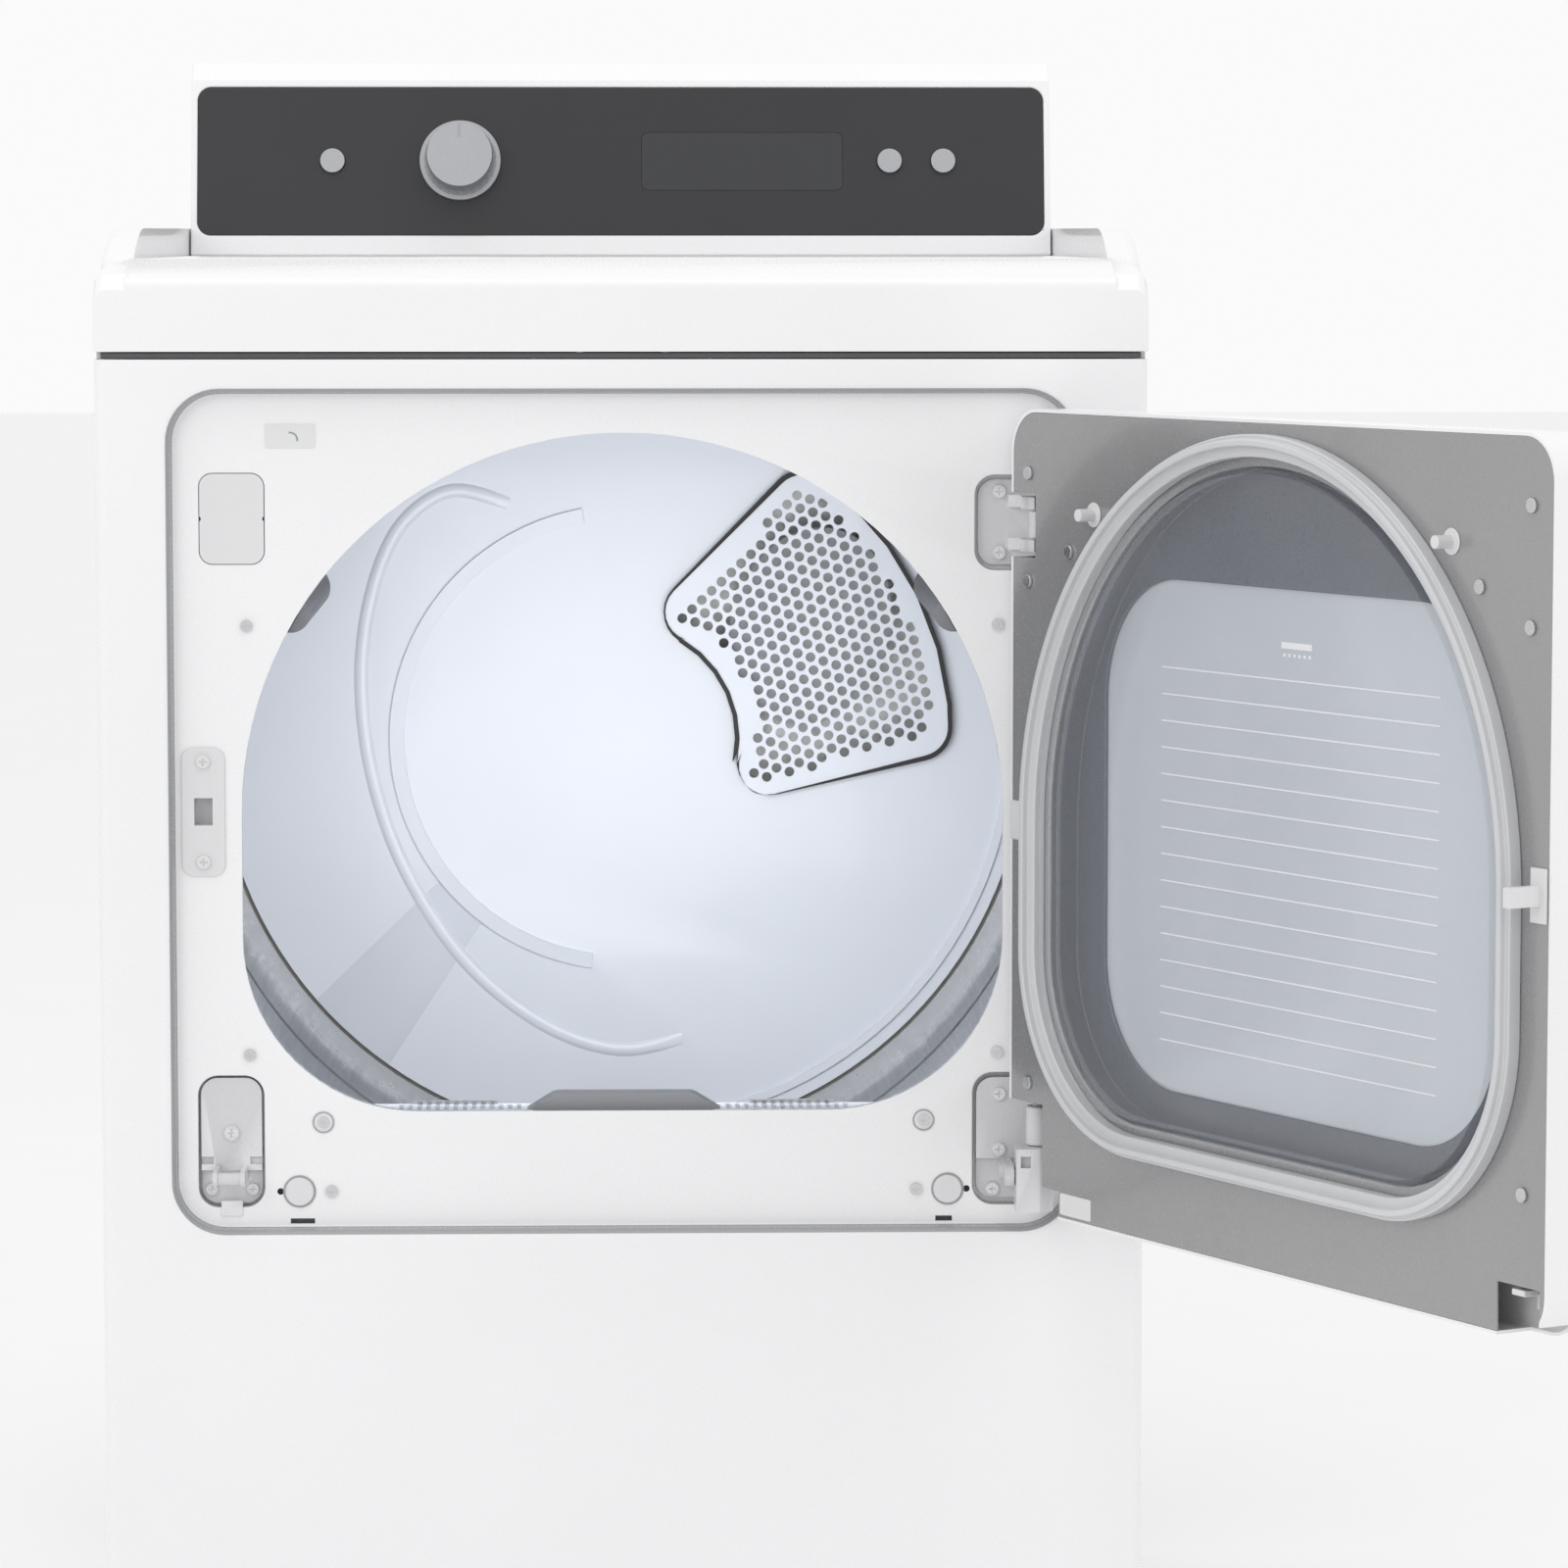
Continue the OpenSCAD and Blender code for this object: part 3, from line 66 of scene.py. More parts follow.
def spread(tree, value, low, high, low_at=0.3, high_at=0.7):
    """Turns a 0 to 1 value into the range from low to high."""
    node = tree.nodes.new("ShaderNodeMapRange")
    node.inputs["From Min"].default_value = low_at
    node.inputs["From Max"].default_value = high_at
    node.inputs["To Min"].default_value = low
    node.inputs["To Max"].default_value = high
    tree.links.new(value, node.inputs["Value"])
    return node.outputs["Result"]


def finish_of(name, tone, rough, metal=0.0, grain=300.0, bump=0.02, shade=0.03,
              stretch=(1, 1, 1), coat=0.0, alpha=1.0, wear=0.0, rough_range=0.06):
    """A finish with a fine grain, a slow drift of tone and an uneven gloss."""
    mat = bpy.data.materials.new(name)
    mat.use_nodes = True
    tree = mat.node_tree
    shader = tree.nodes["Principled BSDF"]
    place = tree.nodes.new("ShaderNodeTexCoord")
    mapping = tree.nodes.new("ShaderNodeMapping")
    mapping.inputs["Scale"].default_value = stretch
    tree.links.new(place.outputs["Object"], mapping.inputs["Vector"])
    fine = noise_of(tree, mapping.outputs["Vector"], grain, 4.0)
    slow = noise_of(tree, place.outputs["Object"], DRIFT_SCALE, 3.0)
    mix = tree.nodes.new("ShaderNodeMix")
    mix.data_type = "RGBA"
    mix.inputs["A"].default_value = (*[c * (1 - shade) for c in tone], 1)
    mix.inputs["B"].default_value = (*[min(1.0, c * (1 + shade)) for c in tone], 1)
    tree.links.new(spread(tree, slow, 0.0, 1.0), mix.inputs["Factor"])
    colour = mix.outputs["Result"]
    if wear:
        edge = tree.nodes.new("ShaderNodeNewGeometry")
        worn = tree.nodes.new("ShaderNodeMix")
        worn.data_type = "RGBA"
        worn.inputs["B"].default_value = (*[min(1.0, c * 1.5 + 0.05) for c in tone], 1)
        tree.links.new(colour, worn.inputs["A"])
        tree.links.new(spread(tree, edge.outputs["Pointiness"], 0.0, wear, *EDGE_POINTINESS),
                       worn.inputs["Factor"])
        colour = worn.outputs["Result"]
    tree.links.new(colour, shader.inputs["Base Color"])
    tree.links.new(spread(tree, fine, rough - rough_range, rough + rough_range),
                   shader.inputs["Roughness"])
    relief = tree.nodes.new("ShaderNodeBump")
    relief.inputs["Strength"].default_value = bump
    relief.inputs["Distance"].default_value = RELIEF_DEPTH
    tree.links.new(fine, relief.inputs["Height"])
    tree.links.new(relief.outputs["Normal"], shader.inputs["Normal"])
    shader.inputs["Metallic"].default_value = metal
    shader.inputs["Coat Weight"].default_value = coat
    shader.inputs["Coat Roughness"].default_value = COAT_ROUGHNESS
    shader.inputs["Alpha"].default_value = alpha
    return mat


white_enamel = finish_of("white_enamel", (0.82, 0.82, 0.83), 0.30,
                         coat=0.35, grain=900, bump=0.03, shade=0.012)
# Dark grey for the steep walls of the pressed recess, its pockets and pressed seats: painted shade
# standing in for the dark reflection these glossy walls show
painted_wall_shade = finish_of("painted_wall_shade_enamel", (0.34, 0.342, 0.35), 0.25,
                         coat=0.4, grain=900, bump=0.03, shade=0.05)
pale_enamel = finish_of("pale_enamel", (0.72, 0.76, 0.83), 0.38,
                        coat=0.15, grain=700, bump=0.04, shade=0.03)
galvanised = finish_of("galvanised_sheet", (0.55, 0.56, 0.57), 0.42,
                       metal=0.9, grain=60, bump=0.03, shade=0.10)
drum_steel = finish_of("drum_stainless", (0.36, 0.37, 0.39), 0.34, metal=1.0, grain=260,
                       bump=0.10, shade=0.06, stretch=(1, 0.03, 1), rough_range=0.08)
lifter_plastic = finish_of("lifter_plastic", (0.045, 0.047, 0.055), 0.42,
                           grain=1200, bump=0.10, shade=0.10)
black_plastic = finish_of("black_plastic", (0.022, 0.022, 0.025), 0.40,
                          grain=1100, bump=0.08, shade=0.12)
black_rubber = finish_of("black_rubber", (0.018, 0.018, 0.019), 0.62,
                         grain=900, bump=0.12, shade=0.15)
grey_plastic = finish_of("grey_plastic", (0.30, 0.31, 0.33), 0.46,
                         grain=900, bump=0.08, shade=0.04)
door_liner = finish_of("door_liner_enamel", (0.30, 0.30, 0.305), 0.24,
                       grain=800, bump=0.03, shade=0.04, coat=0.5, metal=0.25)
hinge_enamel = finish_of("hinge_enamel", (0.60, 0.60, 0.615), 0.30,
                         grain=700, bump=0.06, shade=0.04, wear=0.4)
light_plastic = finish_of("light_plastic", (0.68, 0.68, 0.69), 0.34,
                          grain=1000, bump=0.05, shade=0.02)
screw_zinc = finish_of("screw_zinc", (0.60, 0.60, 0.61), 0.30,
                       metal=1.0, grain=500, bump=0.05, shade=0.06)
felt = finish_of("felt", (0.34, 0.33, 0.30), 0.92,
                 grain=500, bump=0.6, shade=0.10)
heater_alloy = finish_of("heater_alloy", (0.35, 0.28, 0.22), 0.5,
                         metal=0.8, grain=300, bump=0.05, shade=0.2)
ceramic = finish_of("ceramic", (0.70, 0.66, 0.55), 0.5,
                    grain=800, bump=0.05, shade=0.05)
board_green = finish_of("board_green", (0.03, 0.16, 0.07), 0.45,
                        grain=500, bump=0.08, shade=0.15)
motor_enamel = finish_of("motor_enamel", (0.07, 0.075, 0.085), 0.38,
                         grain=600, bump=0.08, shade=0.1)
pale_plastic = finish_of("pale_plastic", (0.70, 0.70, 0.66), 0.42,
                         grain=900, bump=0.06, shade=0.03)
seal_rubber = finish_of("seal_rubber", (0.58, 0.585, 0.60), 0.36,
                        grain=1000, bump=0.10, shade=0.05)
frame_navy = finish_of("window_frame_navy", (0.055, 0.062, 0.085), 0.30,
                       grain=900, bump=0.05, shade=0.08)
control_satin = finish_of("control_satin", (0.42, 0.43, 0.45), 0.32,
                          metal=0.6, grain=700, bump=0.05, shade=0.04)
display_black = finish_of("display_black", (0.012, 0.013, 0.016), 0.12,
                          grain=900, bump=0.0, shade=0.05, coat=0.6)
clear_liner = finish_of("clear_liner", (0.80, 0.83, 0.87), 0.06,
                        grain=500, bump=0.0, shade=0.02, alpha=0.08, rough_range=0.02)
tinted_glass = finish_of("tinted_glass", (0.56, 0.59, 0.65), 0.12, grain=500,
                         bump=0.0, shade=0.03, alpha=0.86, rough_range=0.03, coat=0.4)
screen_print = finish_of("screen_print_white", (0.85, 0.86, 0.88), 0.5,
                         grain=900, bump=0.02, shade=0.02)
label_paper = finish_of("label_paper", (0.70, 0.71, 0.70), 0.55,
                        grain=700, bump=0.03, shade=0.02)
label_ink = finish_of("label_ink", (0.28, 0.29, 0.30), 0.6,
                      grain=700, bump=0.02, shade=0.05)
seal_strip = finish_of("seal_strip", (0.12, 0.12, 0.125), 0.6,
                       grain=900, bump=0.05, shade=0.05)
baffle_metal = finish_of("baffle_metal", (0.46, 0.465, 0.475), 0.5,
                         grain=400, bump=0.03, shade=0.08)
floor_pale = finish_of("studio_floor_pale", (0.92, 0.92, 0.92), 0.7,
                       grain=5, bump=0.0, shade=0.005)

FINISH = {
    "side_panel_left": white_enamel, "side_panel_right": white_enamel, "rear_panel": galvanised,
    "front_panel": white_enamel, "base_pan": galvanised, "top_cover": white_enamel,
    "leveling_feet": black_rubber, "console_housing": white_enamel, "console_fascia": black_plastic,
    "display_lens": display_black, "control_board": board_green, "front_bulkhead": pale_enamel,
    "lint_duct": grey_plastic, "rear_bulkhead": pale_enamel, "vent_grille": pale_enamel,
    "grille_gasket": black_rubber, "drum_felts": felt, "strike_plate": light_plastic,
    "cover_plate": light_plastic, "hook_bracket": hinge_enamel, "lower_bracket": hinge_enamel,
    "hinge_receiver": hinge_enamel, "door_bumpers": light_plastic, "panel_screws": screw_zinc,
    "heater_duct": galvanised, "heater_coil": heater_alloy, "terminal_block": ceramic,
    "terminal_cover": galvanised, "exhaust_pipe": galvanised, "blower_housing": black_plastic,
    "motor": motor_enamel, "motor_mount": galvanised, "roller_shafts": screw_zinc,
    "drum_belt": black_rubber, "moisture_bars": screw_zinc, "idler_spring": screw_zinc,
    "drum": drum_steel, "drum_lifters": lifter_plastic, "motor_pulley": screw_zinc,
    "blower_wheel": pale_plastic, "idler_arm": galvanised, "idler_pulley": pale_plastic,
    "front_roller_left": black_rubber, "front_roller_right": black_rubber,
    "rear_roller_left": black_rubber, "rear_roller_right": black_rubber,
    "lint_filter": grey_plastic, "selector_knob": control_satin, "power_button": control_satin,
    "start_button": control_satin, "option_button": control_satin, "hinge_knuckle": hinge_enamel,
    "door_outer_panel": white_enamel, "window_glass": tinted_glass, "window_frame": frame_navy,
    "door_inner_panel": door_liner, "liner_glass": clear_liner, "door_gasket": seal_rubber,
    "door_hinge_leaf": hinge_enamel, "door_fittings": light_plastic,
}

BODY_OF = {}
for body_name, members in frame["record"]["behaviour"]["bodies"].items():
    for member in members:
        BODY_OF[member] = body_name


def paint(obj, mat):
    """Gives the whole object one finish."""
    obj.data.materials.clear()
    obj.data.materials.append(mat)


for node_name, obj in nodes.items():
    paint(obj, FINISH[node_name])

# ------------------------------------------------------------------ shared tools

ON_PLANE = 2e-4  # how near a vertex lies to a plane to count as on it
ON_OUTLINE = 4e-4  # the same for a rounded outline
WELD = 2e-5
FLAT_WITHIN = 0.6  # faces that turn less than this are joined into one
WALL_ANGLE = 20
EDGE_ANGLE = 35  # edges that turn more than this are eased


def piece(name, bm, mat, body, smooth=30):
    """Makes a finished mesh from bm, shaded smooth except at its creases, riding on a body."""
    mesh = bpy.data.meshes.new(name)
    bm.to_mesh(mesh)
    bm.free()
    obj = bpy.data.objects.new(name, mesh)
    scene.collection.objects.link(obj)
    mesh.shade_smooth()
    mesh.set_sharp_from_angle(angle=math.radians(smooth))
    paint(obj, mat)
    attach(obj, body)
    return obj


def round_edges(bm, edges, radius, segments, clamp=False):
    """Rounds the edges, by no more than their faces hold when clamp is set."""
    bmesh.ops.bevel(bm, geom=edges, offset=radius, segments=segments, profile=0.5,
                    material=-1, affect="EDGES", clamp_overlap=clamp)


def flat_walls(bm):
    """The faces that meet every neighbour at a clear angle, which keep their own shading."""
    bm.faces.index_update()
    return [f.index for f in bm.faces if all(
        e.calc_face_angle(math.pi) > math.radians(WALL_ANGLE) for e in f.edges)]


def softened(node, width, segments=2, shape=None, second=None):
    """A copy of a CAD node with its edges eased, standing in for the node.

    shape works on the copy's mesh first. The faces it marks get the second finish.
    """
    bm = bmesh.new()
    bm.from_mesh(nodes[node].data)
    bmesh.ops.remove_doubles(bm, verts=bm.verts, dist=WELD)
    bmesh.ops.dissolve_limit(bm, angle_limit=math.radians(FLAT_WITHIN),
                             verts=bm.verts, edges=bm.edges)
    if shape:
        shape(bm)
    flat = flat_walls(bm)
    marked = [f.index for f in bm.faces if f.material_index]
    obj = piece(node + "_eased", bm, FINISH[node], BODY_OF[node])
    if second:
        obj.data.materials.append(second)
        for index in marked:
            obj.data.polygons[index].material_index = 1
    for index in flat:
        obj.data.polygons[index].use_smooth = False
    bevel = obj.modifiers.new("eased_edges", "BEVEL")
    bevel.width = width
    bevel.segments = segments
    bevel.limit_method = "ANGLE"
    bevel.angle_limit = math.radians(EDGE_ANGLE)
    bevel.harden_normals = False
    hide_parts(node)


def slab(bm, x0, x1, y0, y1, z0, z1):
    """Adds one box, given by its limits."""
    made = bmesh.ops.create_cube(bm, size=1.0)["verts"]
    bmesh.ops.scale(bm, vec=(x1 - x0, y1 - y0, z1 - z0), verts=made)
    bmesh.ops.translate(bm, vec=((x0 + x1) / 2, (y0 + y1) / 2, (z0 + z1) / 2), verts=made)


def across_y(bm):
    """The edges that run from front to back."""
    return [e for e in bm.edges if abs(e.verts[0].co.y - e.verts[1].co.y) > 1e-5]


def made_verts(geom):
    """The vertices among the results of a mesh operation."""
    return [g for g in geom if isinstance(g, bmesh.types.BMVert)]


# Width of the eased edge of each node that needs no more than that
EASED = {
    "console_housing": 0.0025, "console_fascia": 0.001, "side_panel_left": 0.0005,
    "side_panel_right": 0.0005, "strike_plate": 0.0008, "cover_plate": 0.0012,
    "hook_bracket": 0.0012, "lower_bracket": 0.0012, "hinge_receiver": 0.0012,
    "hinge_knuckle": 0.0015, "door_hinge_leaf": 0.001, "door_inner_panel": 0.0005,
    "door_gasket": 0.0009, "window_frame": 0.0008, "door_bumpers": 0.0015,
    "lint_filter": 0.0012, "leveling_feet": 0.0015, "terminal_cover": 0.0006,
    "selector_knob": 0.0006, "drum_lifters": 0.0009, "rear_bulkhead": 0.001,
    "front_bulkhead": 0.0005,
}
NARROW_EDGE = 0.001  # edges up to this width get two segments, wider ones three
for node_name, width in EASED.items():
    softened(node_name, width, 3 if width > NARROW_EDGE else 2)

# ------------------------------------------------------------------ pressed front panel

# Centre, width, height and corner radius of the pressed recess and of its three pockets
RECESS = (0.0, 0.650, 0.588, 0.550, 0.032)
POCKETS = ((0.257, 0.840, 0.052, 0.062, 0.013), (0.257, 0.4325, 0.052, 0.087, 0.013),
           (-0.2585, 0.4325, 0.043, 0.087, 0.013))
FRONT_FACE = 0.0
SHEET = 0.0012
RECESS_FLOOR = 0.012
# Where the painted shade goes on the recess walls: how far they reach from the recess outline, in
# plan and in depth, and how steep they are
WALL_REACH, WALL_DEPTHS, WALL_STEEP = 0.007, (0.0002, 0.0125), 0.82
# The same for the walls of the pockets, which lie at least this far inside the outline
POCKET_INSIDE, POCKET_DEPTHS, POCKET_STEEP = 0.008, (0.0118, 0.0215), 0.93


def off_outline(x, z, outline):
    """Distance from a rounded rectangle's outline, negative inside it."""
    cx, cz, w, h, r = outline
    px = abs(x - cx) - (w / 2 - r)
    pz = abs(z - cz) - (h / 2 - r)
    return math.hypot(max(px, 0), max(pz, 0)) + min(max(px, pz), 0) - r


def round_rim(bm, outline, depth, off, radius, segments):
    """Rounds the edges at one depth that lie a set distance off an outline."""
    rim = [e for e in bm.edges if all(
        abs(v.co.y - depth) < ON_PLANE
        and abs(off_outline(v.co.x, v.co.z, outline) - off) < ON_OUTLINE for v in e.verts)]
    round_edges(bm, rim, radius, segments, clamp=True)


def press_recess(bm):
    """Rounds the rims and floor corners of the recess and its pockets, and marks their steep walls,
    which get a painted shade.
    """
    round_rim(bm, RECESS, FRONT_FACE, 0.0, 0.0062, 6)
    round_rim(bm, RECESS, SHEET, SHEET, 0.0050, 6)
    round_rim(bm, RECESS, RECESS_FLOOR, 0.0, 0.0021, 4)
    for pocket in POCKETS:
        round_rim(bm, pocket, RECESS_FLOOR, 0.0, 0.0024, 3)
    bm.normal_update()
    for face in bm.faces:
        c = face.calc_center_median()
        off = off_outline(c.x, c.z, RECESS)
        steep = abs(face.normal.y)
        wall = abs(off) < WALL_REACH and WALL_DEPTHS[0] < c.y < WALL_DEPTHS[1]
        inner = off < -POCKET_INSIDE and POCKET_DEPTHS[0] < c.y < POCKET_DEPTHS[1]
        if (wall and steep < WALL_STEEP) or (inner and steep < POCKET_STEEP):
            face.material_index = 1


# The steep walls of the recess and pockets are painted dark grey as painted shade
softened("front_panel", 0.0007, shape=press_recess, second=painted_wall_shade)


def info_label():
    """A pale label with a short curved mark, on the floor of the recess."""
    bm = bmesh.new()
    slab(bm, -0.233, -0.200, 0.0116, 0.0120, 0.889, 0.905)
    round_edges(bm, across_y(bm), 0.0015, 3)
    piece("info_label", bm, label_paper, "cabinet")
    bm = bmesh.new()
    cx, cz, radius, depth, widen = -0.2165, 0.8945, 0.0042, 0.01145, 1.25
    ring = [bm.verts.new((cx + radius * math.cos(math.radians(a)), depth,
                          cz + radius * math.sin(math.radians(a)))) for a in range(-10, 101, 10)]
    for a, b in zip(ring, ring[1:]):
        bm.edges.new((a, b))
    grown = bmesh.ops.extrude_edge_only(bm, edges=bm.edges[:])["geom"]
    bmesh.ops.scale(bm, vec=(widen, 1.0, widen), verts=made_verts(grown),
                    space=Matrix.Translation((-cx, 0.0, -cz)))
    bmesh.ops.solidify(bm, geom=bm.faces[:], thickness=0.0002)
    bmesh.ops.recalc_face_normals(bm, faces=bm.faces)
    piece("info_label_mark", bm, label_ink, "cabinet")


def flat_ring(bm, x, y, z, inner, outer, thick=0.0003):
    """Adds a thin flat ring facing forward."""
    circle = bmesh.ops.create_circle(bm, cap_ends=False, segments=40, radius=inner)["verts"]
    bmesh.ops.rotate(bm, matrix=Matrix.Rotation(math.radians(90), 3, "X"), verts=circle)
    rim = list({e for v in circle for e in v.link_edges})
    grown = bmesh.ops.extrude_edge_only(bm, edges=rim)["geom"]
    outside = made_verts(grown)
    bmesh.ops.scale(bm, vec=(outer / inner, 1.0, outer / inner), verts=outside)
    faces = [g for g in grown if isinstance(g, bmesh.types.BMFace)]
    thicker = bmesh.ops.solidify(bm, geom=faces, thickness=thick)["geom"]
    moved = set(circle) | set(outside) | set(made_verts(thicker))
    bmesh.ops.translate(bm, vec=(x, y, z), verts=list(moved))


def painted_shade_rings():
    """Thin dark grey rings of painted shade round the bumpers and round the pressed seats of two
    screws.
    """
    ring_y = 0.0117
    bm = bmesh.new()
    for side in (-1, 1):
        flat_ring(bm, side * 0.214, ring_y, 0.399, 0.0097, 0.0108)
        flat_ring(bm, side * 0.198, ring_y, 0.445, 0.0062, 0.0072)
    bmesh.ops.recalc_face_normals(bm, faces=bm.faces)
    piece("painted_shade_rings", bm, painted_wall_shade, "cabinet")


info_label()
painted_shade_rings()

# ------------------------------------------------------------------ door

# The door stands open by this turn about its upright pin; places on it are given for it shut
PIVOT = Vector((0.272, -0.016, 0.0))
DOOR_ANGLE = 119
DOOR_OPEN = (Matrix.Translation(PIVOT) @ Matrix.Rotation(math.radians(DOOR_ANGLE), 4, "Z")
             @ Matrix.Translation(-PIVOT))
DOOR_SHUT = DOOR_OPEN.inverted()
DOOR_OUTLINE = (0.0, 0.653, 0.570, 0.525, 0.028)
DOOR_SKIN_Y = -0.030
DRUM_AXIS_Z = 0.649
# Inner-face screws on both sides of the door: distance from its middle, and height off the axis
DOOR_SCREWS = ((0.264, 0.225), (0.264, 0.155), (0.216, 0.176), (0.262, -0.173))
SCREW_REACH = 0.007


def round_skin(bm):
    """Rounds the outer edge of the door's skin."""
    rim = []
    for e in bm.edges:
        ends = [DOOR_SHUT @ v.co for v in e.verts]
        if all(abs(c.y - DOOR_SKIN_Y) < ON_PLANE
               and abs(off_outline(c.x, c.z, DOOR_OUTLINE)) < ON_OUTLINE for c in ends):
            rim.append(e)
    round_edges(bm, rim, 0.0034, 5, clamp=True)


def mark_screws(bm):
    """Gives the screws of the door's inner face their own finish."""
    places = [(side * x, DRUM_AXIS_Z + z) for side in (-1, 1) for x, z in DOOR_SCREWS]
    for face in bm.faces:
        c = DOOR_SHUT @ face.calc_center_median()
        if any(math.hypot(c.x - x, c.z - z) < SCREW_REACH for x, z in places):
            face.material_index = 1


def on_open_door(name, bm, mat):
    """Swings a mesh that was laid out on the shut door to the open door, and adds it there."""
    bmesh.ops.transform(bm, matrix=DOOR_OPEN, verts=bm.verts)
    piece(name, bm, mat, "door")


def printed_window():
    """Thin printed lines and a plain mark on the inside of the outer window."""
    bm = bmesh.new()
    y0, y1 = -0.0264, -0.0262
    top_line, line_gap, lines = 0.755, 0.017, 15
    for row in range(lines):
        z = top_line - line_gap * row
        slab(bm, -0.146, 0.146, y0, y1, z - 0.0005, z + 0.0005)
    slab(bm, -0.016, 0.016, y0, y1, 0.7745, 0.7785)
    dot_gap, dots = 0.0053, 6
    for dot in range(dots):
        slab(bm, -0.015 + dot_gap * dot, -0.0125 + dot_gap * dot, y0, y1, 0.7695, 0.7715)
    on_open_door("window_print", bm, screen_print)


def door_trim():
    """The pale label at the lower edge of the door's inner face, and the clip on its hinge edge."""
    bm = bmesh.new()
    slab(bm, 0.188, 0.224, -0.0021, -0.0017, 0.3945, 0.4085)
    round_edges(bm, across_y(bm), 0.0012, 3)
    on_open_door("door_label", bm, label_paper)
    bm = bmesh.new()
    slab(bm, 0.2690, 0.2856, -0.0120, -0.0012, 0.634, 0.660)
    round_edges(bm, bm.edges[:], 0.0014, 3)
    on_open_door("door_edge_clip", bm, light_plastic)


softened("door_outer_panel", 0.0004, shape=round_skin)
softened("door_fittings", 0.0008, shape=mark_screws, second=screw_zinc)
printed_window()
door_trim()

# ------------------------------------------------------------------ top cover

COVER_FOOT_Z = 0.9535  # just above the lower edge of the cover's skirt
COVER_BACK_Y = 0.66


def round_cover(bm):
    """Rounds the outer edges of the top cover, its rails and its front corners."""
    for side, radius in ((0.343, 0.0075), (0.342, 0.0065)):
        chain = [e for e in bm.edges if all(
            abs(abs(v.co.x) - side) < ON_PLANE and v.co.z > COVER_FOOT_Z
            and v.co.y < COVER_BACK_Y for v in e.verts)]
        round_edges(bm, chain, radius, 5, clamp=True)


def cover_seal():
    """The grey strip seen in the gap under the top cover."""
    bm = bmesh.new()
    slab(bm, -0.3385, 0.3385, 0.0040, 0.0070, 0.9475, 0.9515)
    round_edges(bm, bm.edges[:], 0.0006, 2)
    piece("cover_seal", bm, seal_strip, "cabinet")


softened("top_cover", 0.0008, shape=round_cover)
cover_seal()

# ------------------------------------------------------------------ rear of the drum

BULKHEAD_FACE = 0.592
RIB_SECTION = (-1, -0.66, -0.33, 0, 0.33, 0.66, 1)  # across the rib, in half widths
RIB_SINK = 0.0006  # how far the rib's two sides run into the bulkhead
RIB_PATH = ((-0.085, 0.826), (-0.128, 0.836), (-0.165, 0.812), (-0.187, 0.765),
            (-0.197, 0.700), (-0.190, 0.625), (-0.165, 0.550), (-0.120, 0.480),
            (-0.062, 0.432), (-0.005, 0.412), (0.045, 0.420))


def ridge(bm, points, half_width, height):
    """A low rounded rib pressed along a path on the face of the rear bulkhead."""
    fade_over = 3  # points over which each end of the rib fades away
    rows = []
    for i, (x, z) in enumerate(points):
        a, b = points[max(i - 1, 0)], points[min(i + 1, len(points) - 1)]
        along = Vector((b[0] - a[0], b[1] - a[1])).normalized()
        fade = min(1.0, (i + 0.2) / fade_over, (len(points) - 1 - i + 0.2) / fade_over)
        rows.append([bm.verts.new((
            x - along.y * half_width * k,
            BULKHEAD_FACE - height * fade * (1 - k * k) + (RIB_SINK if abs(k) == 1 else 0.0),
            z + along.x * half_width * k)) for k in RIB_SECTION])
    for row_a, row_b in zip(rows, rows[1:]):
        for i in range(len(row_a) - 1):
            bm.faces.new((row_a[i], row_a[i + 1], row_b[i + 1], row_b[i]))
    bm.faces.new([row[0] for row in rows] + [row[-1] for row in reversed(rows)])
    for row in (rows[0], rows[-1]):
        bm.faces.new(row)


def smooth_path(points, steps=6):
    """A rounded path through the points."""
    path = []
    for i in range(len(points) - 1):
        p0, p1 = points[max(i - 1, 0)], points[i]
        p2, p3 = points[i + 1], points[min(i + 2, len(points) - 1)]
        for k in range(steps):
            t = k / steps
            path.append(tuple(0.5 * (2 * b + (c - a) * t + (2 * a - 5 * b + 4 * c - d) * t * t
                                     + (3 * b - a - 3 * c + d) * t ** 3)
                              for a, b, c, d in zip(p0, p1, p2, p3)))
    return path + [points[-1]]


def bulkhead_ribs():
    """The long curved rib on the left of the rear bulkhead."""
    bm = bmesh.new()
    ridge(bm, smooth_path(RIB_PATH), 0.006, 0.0022)
    bmesh.ops.recalc_face_normals(bm, faces=bm.faces)
    piece("bulkhead_ribs", bm, pale_enamel, "cabinet", smooth=50)


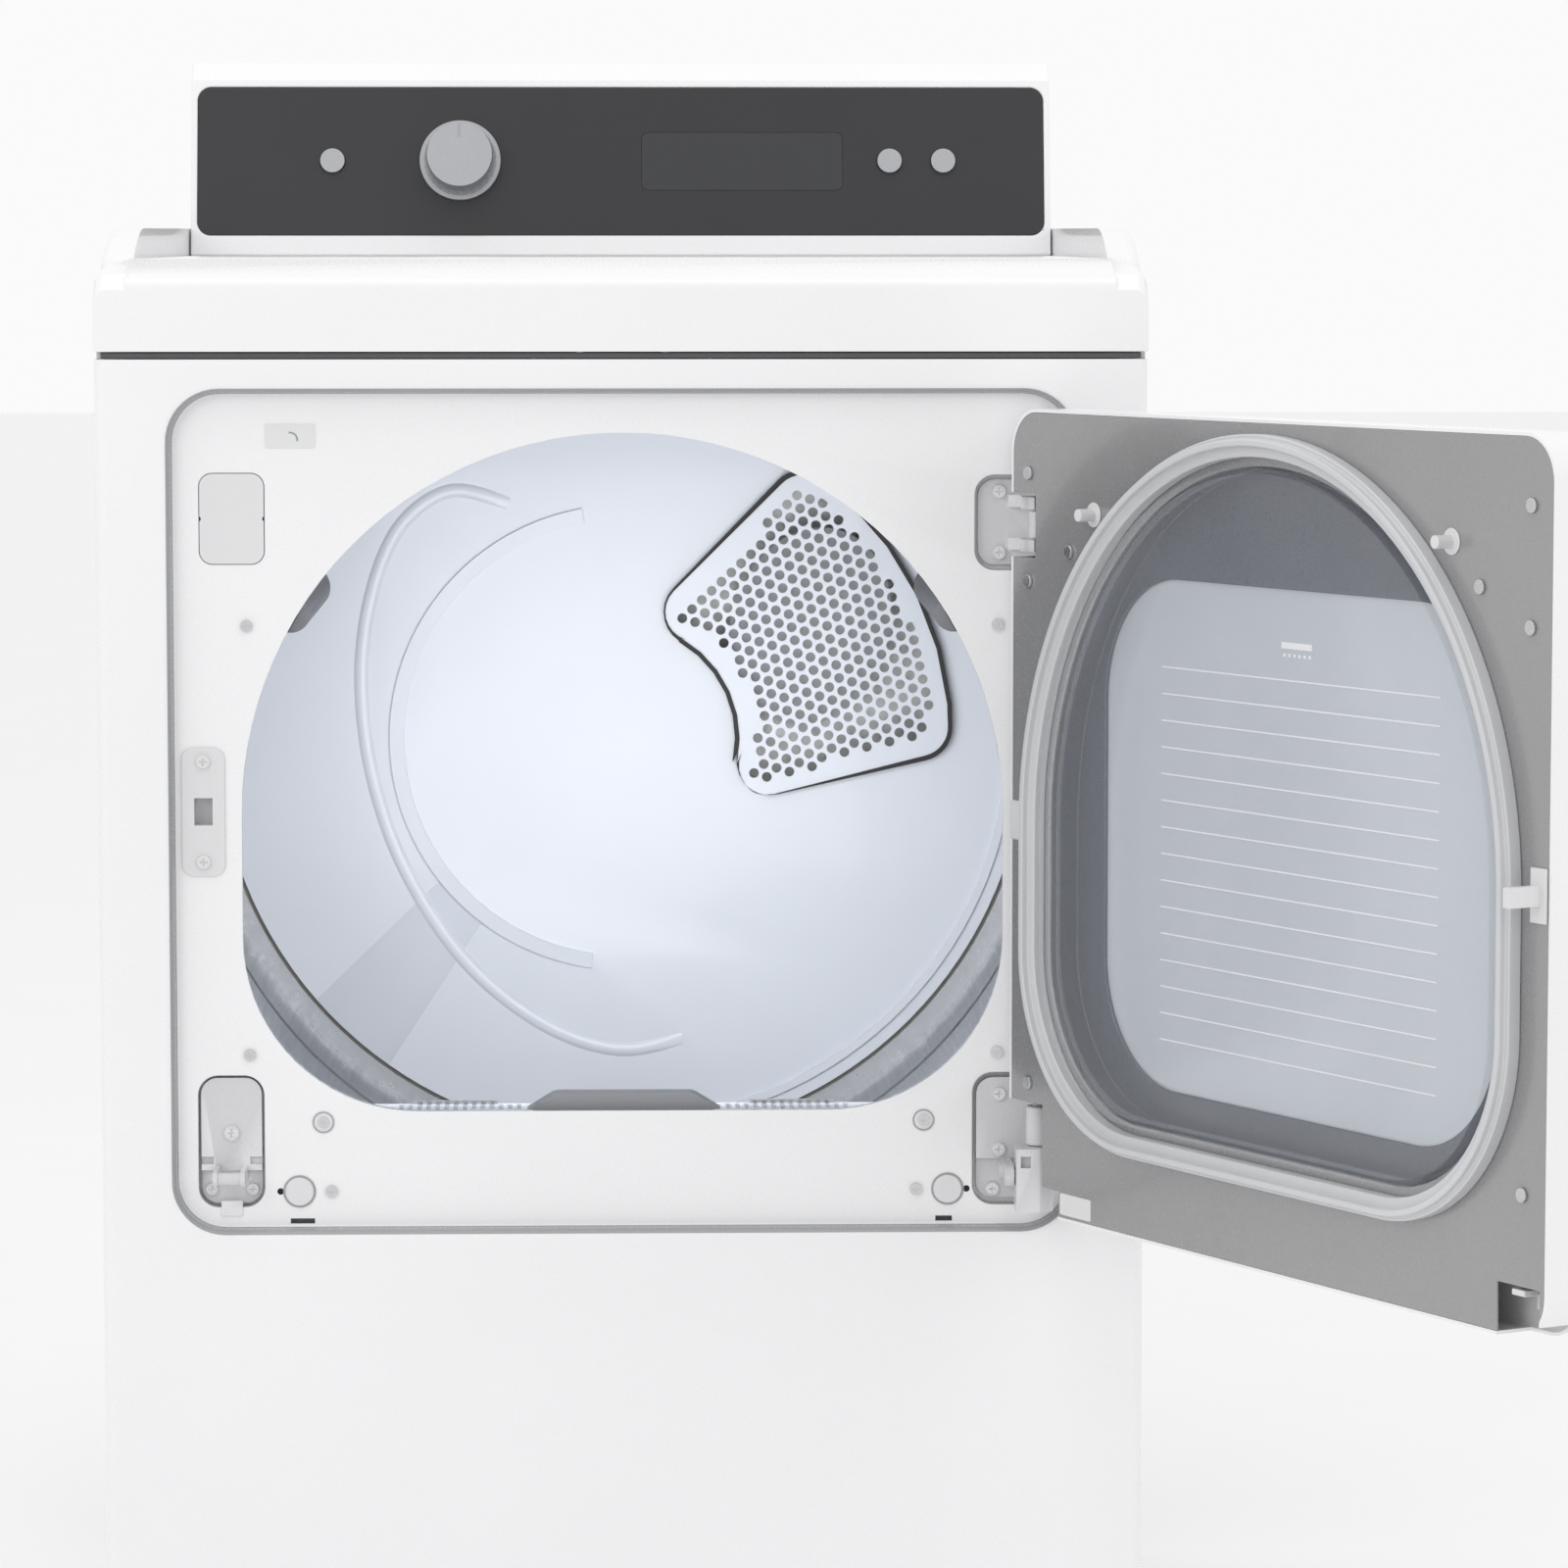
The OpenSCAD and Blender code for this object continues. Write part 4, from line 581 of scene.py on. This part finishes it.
def air_baffle():
    """A pale plate behind the middle of the air grille, inside the heater duct."""
    bm = bmesh.new()
    bmesh.ops.create_circle(bm, cap_ends=True, segments=48, radius=1.0)
    bmesh.ops.scale(bm, vec=(0.060, 0.076, 1.0), verts=bm.verts)
    for angle, axis in ((-17, "Z"), (90, "X")):
        bmesh.ops.rotate(bm, matrix=Matrix.Rotation(math.radians(angle), 3, axis), verts=bm.verts)
    bmesh.ops.translate(bm, vec=(0.142, 0.598, 0.733), verts=bm.verts)
    bmesh.ops.solidify(bm, geom=bm.faces[:], thickness=0.0015)
    bmesh.ops.recalc_face_normals(bm, faces=bm.faces)
    piece("air_baffle", bm, baffle_metal, "cabinet")


bulkhead_ribs()
air_baffle()

# ------------------------------------------------------------------ studio

floor_bm = bmesh.new()
bmesh.ops.create_grid(floor_bm, x_segments=1, y_segments=1, size=30)
floor_mesh = bpy.data.meshes.new("studio_floor")
floor_bm.to_mesh(floor_mesh)
floor_bm.free()
studio_floor = bpy.data.objects.new("studio_floor", floor_mesh)
scene.collection.objects.link(studio_floor)
paint(studio_floor, floor_pale)

world = bpy.data.worlds.new("studio_air")
world.use_nodes = True
world.node_tree.nodes["Background"].inputs["Color"].default_value = (1.0, 1.0, 1.0, 1)
world.node_tree.nodes["Background"].inputs["Strength"].default_value = 0.96
scene.world = world

# Place, the point it is turned to, width and height, and power in watts
SOFTBOXES = {
    "softbox_front_left": ((-2.2, -3.0, 2.3), (0, 0, 0.8), (1.6, 1.6), 17),
    "softbox_front_right": ((2.6, -2.6, 2.0), (0.2, 0, 0.7), (1.4, 1.4), 8),
    "softbox_above": ((0.0, -0.4, 3.4), (0, 0.2, 0.9), (2.4, 2.0), 11),
    "drum_glow": ((0.0, 0.05, 0.66), (0.0, 0.60, 0.62), (0.40, 0.34), 2.1),
}
for box_name, (place, aim, size, power) in SOFTBOXES.items():
    light = bpy.data.lights.new(box_name, "AREA")
    light.shape = "RECTANGLE"
    light.size, light.size_y = size
    light.energy = power
    softbox = bpy.data.objects.new(box_name, light)
    scene.collection.objects.link(softbox)
    softbox.location = place
    softbox.rotation_euler = (Vector(aim) - Vector(place)).to_track_quat("-Z", "Y").to_euler()

scene.view_settings.view_transform = "Standard"

camera_data = bpy.data.cameras.new("studio_camera")
camera_data.sensor_width = 36.0
camera_data.lens = 135.0
camera_data.clip_end = 100.0
studio_camera = bpy.data.objects.new("studio_camera", camera_data)
scene.collection.objects.link(studio_camera)
studio_camera.location = (0.0, -3.834, 1.029)
VIEW_LINE = Vector((0.0275, 1.0, -0.0938))
studio_camera.rotation_euler = VIEW_LINE.to_track_quat("-Z", "Y").to_euler()
scene.camera = studio_camera
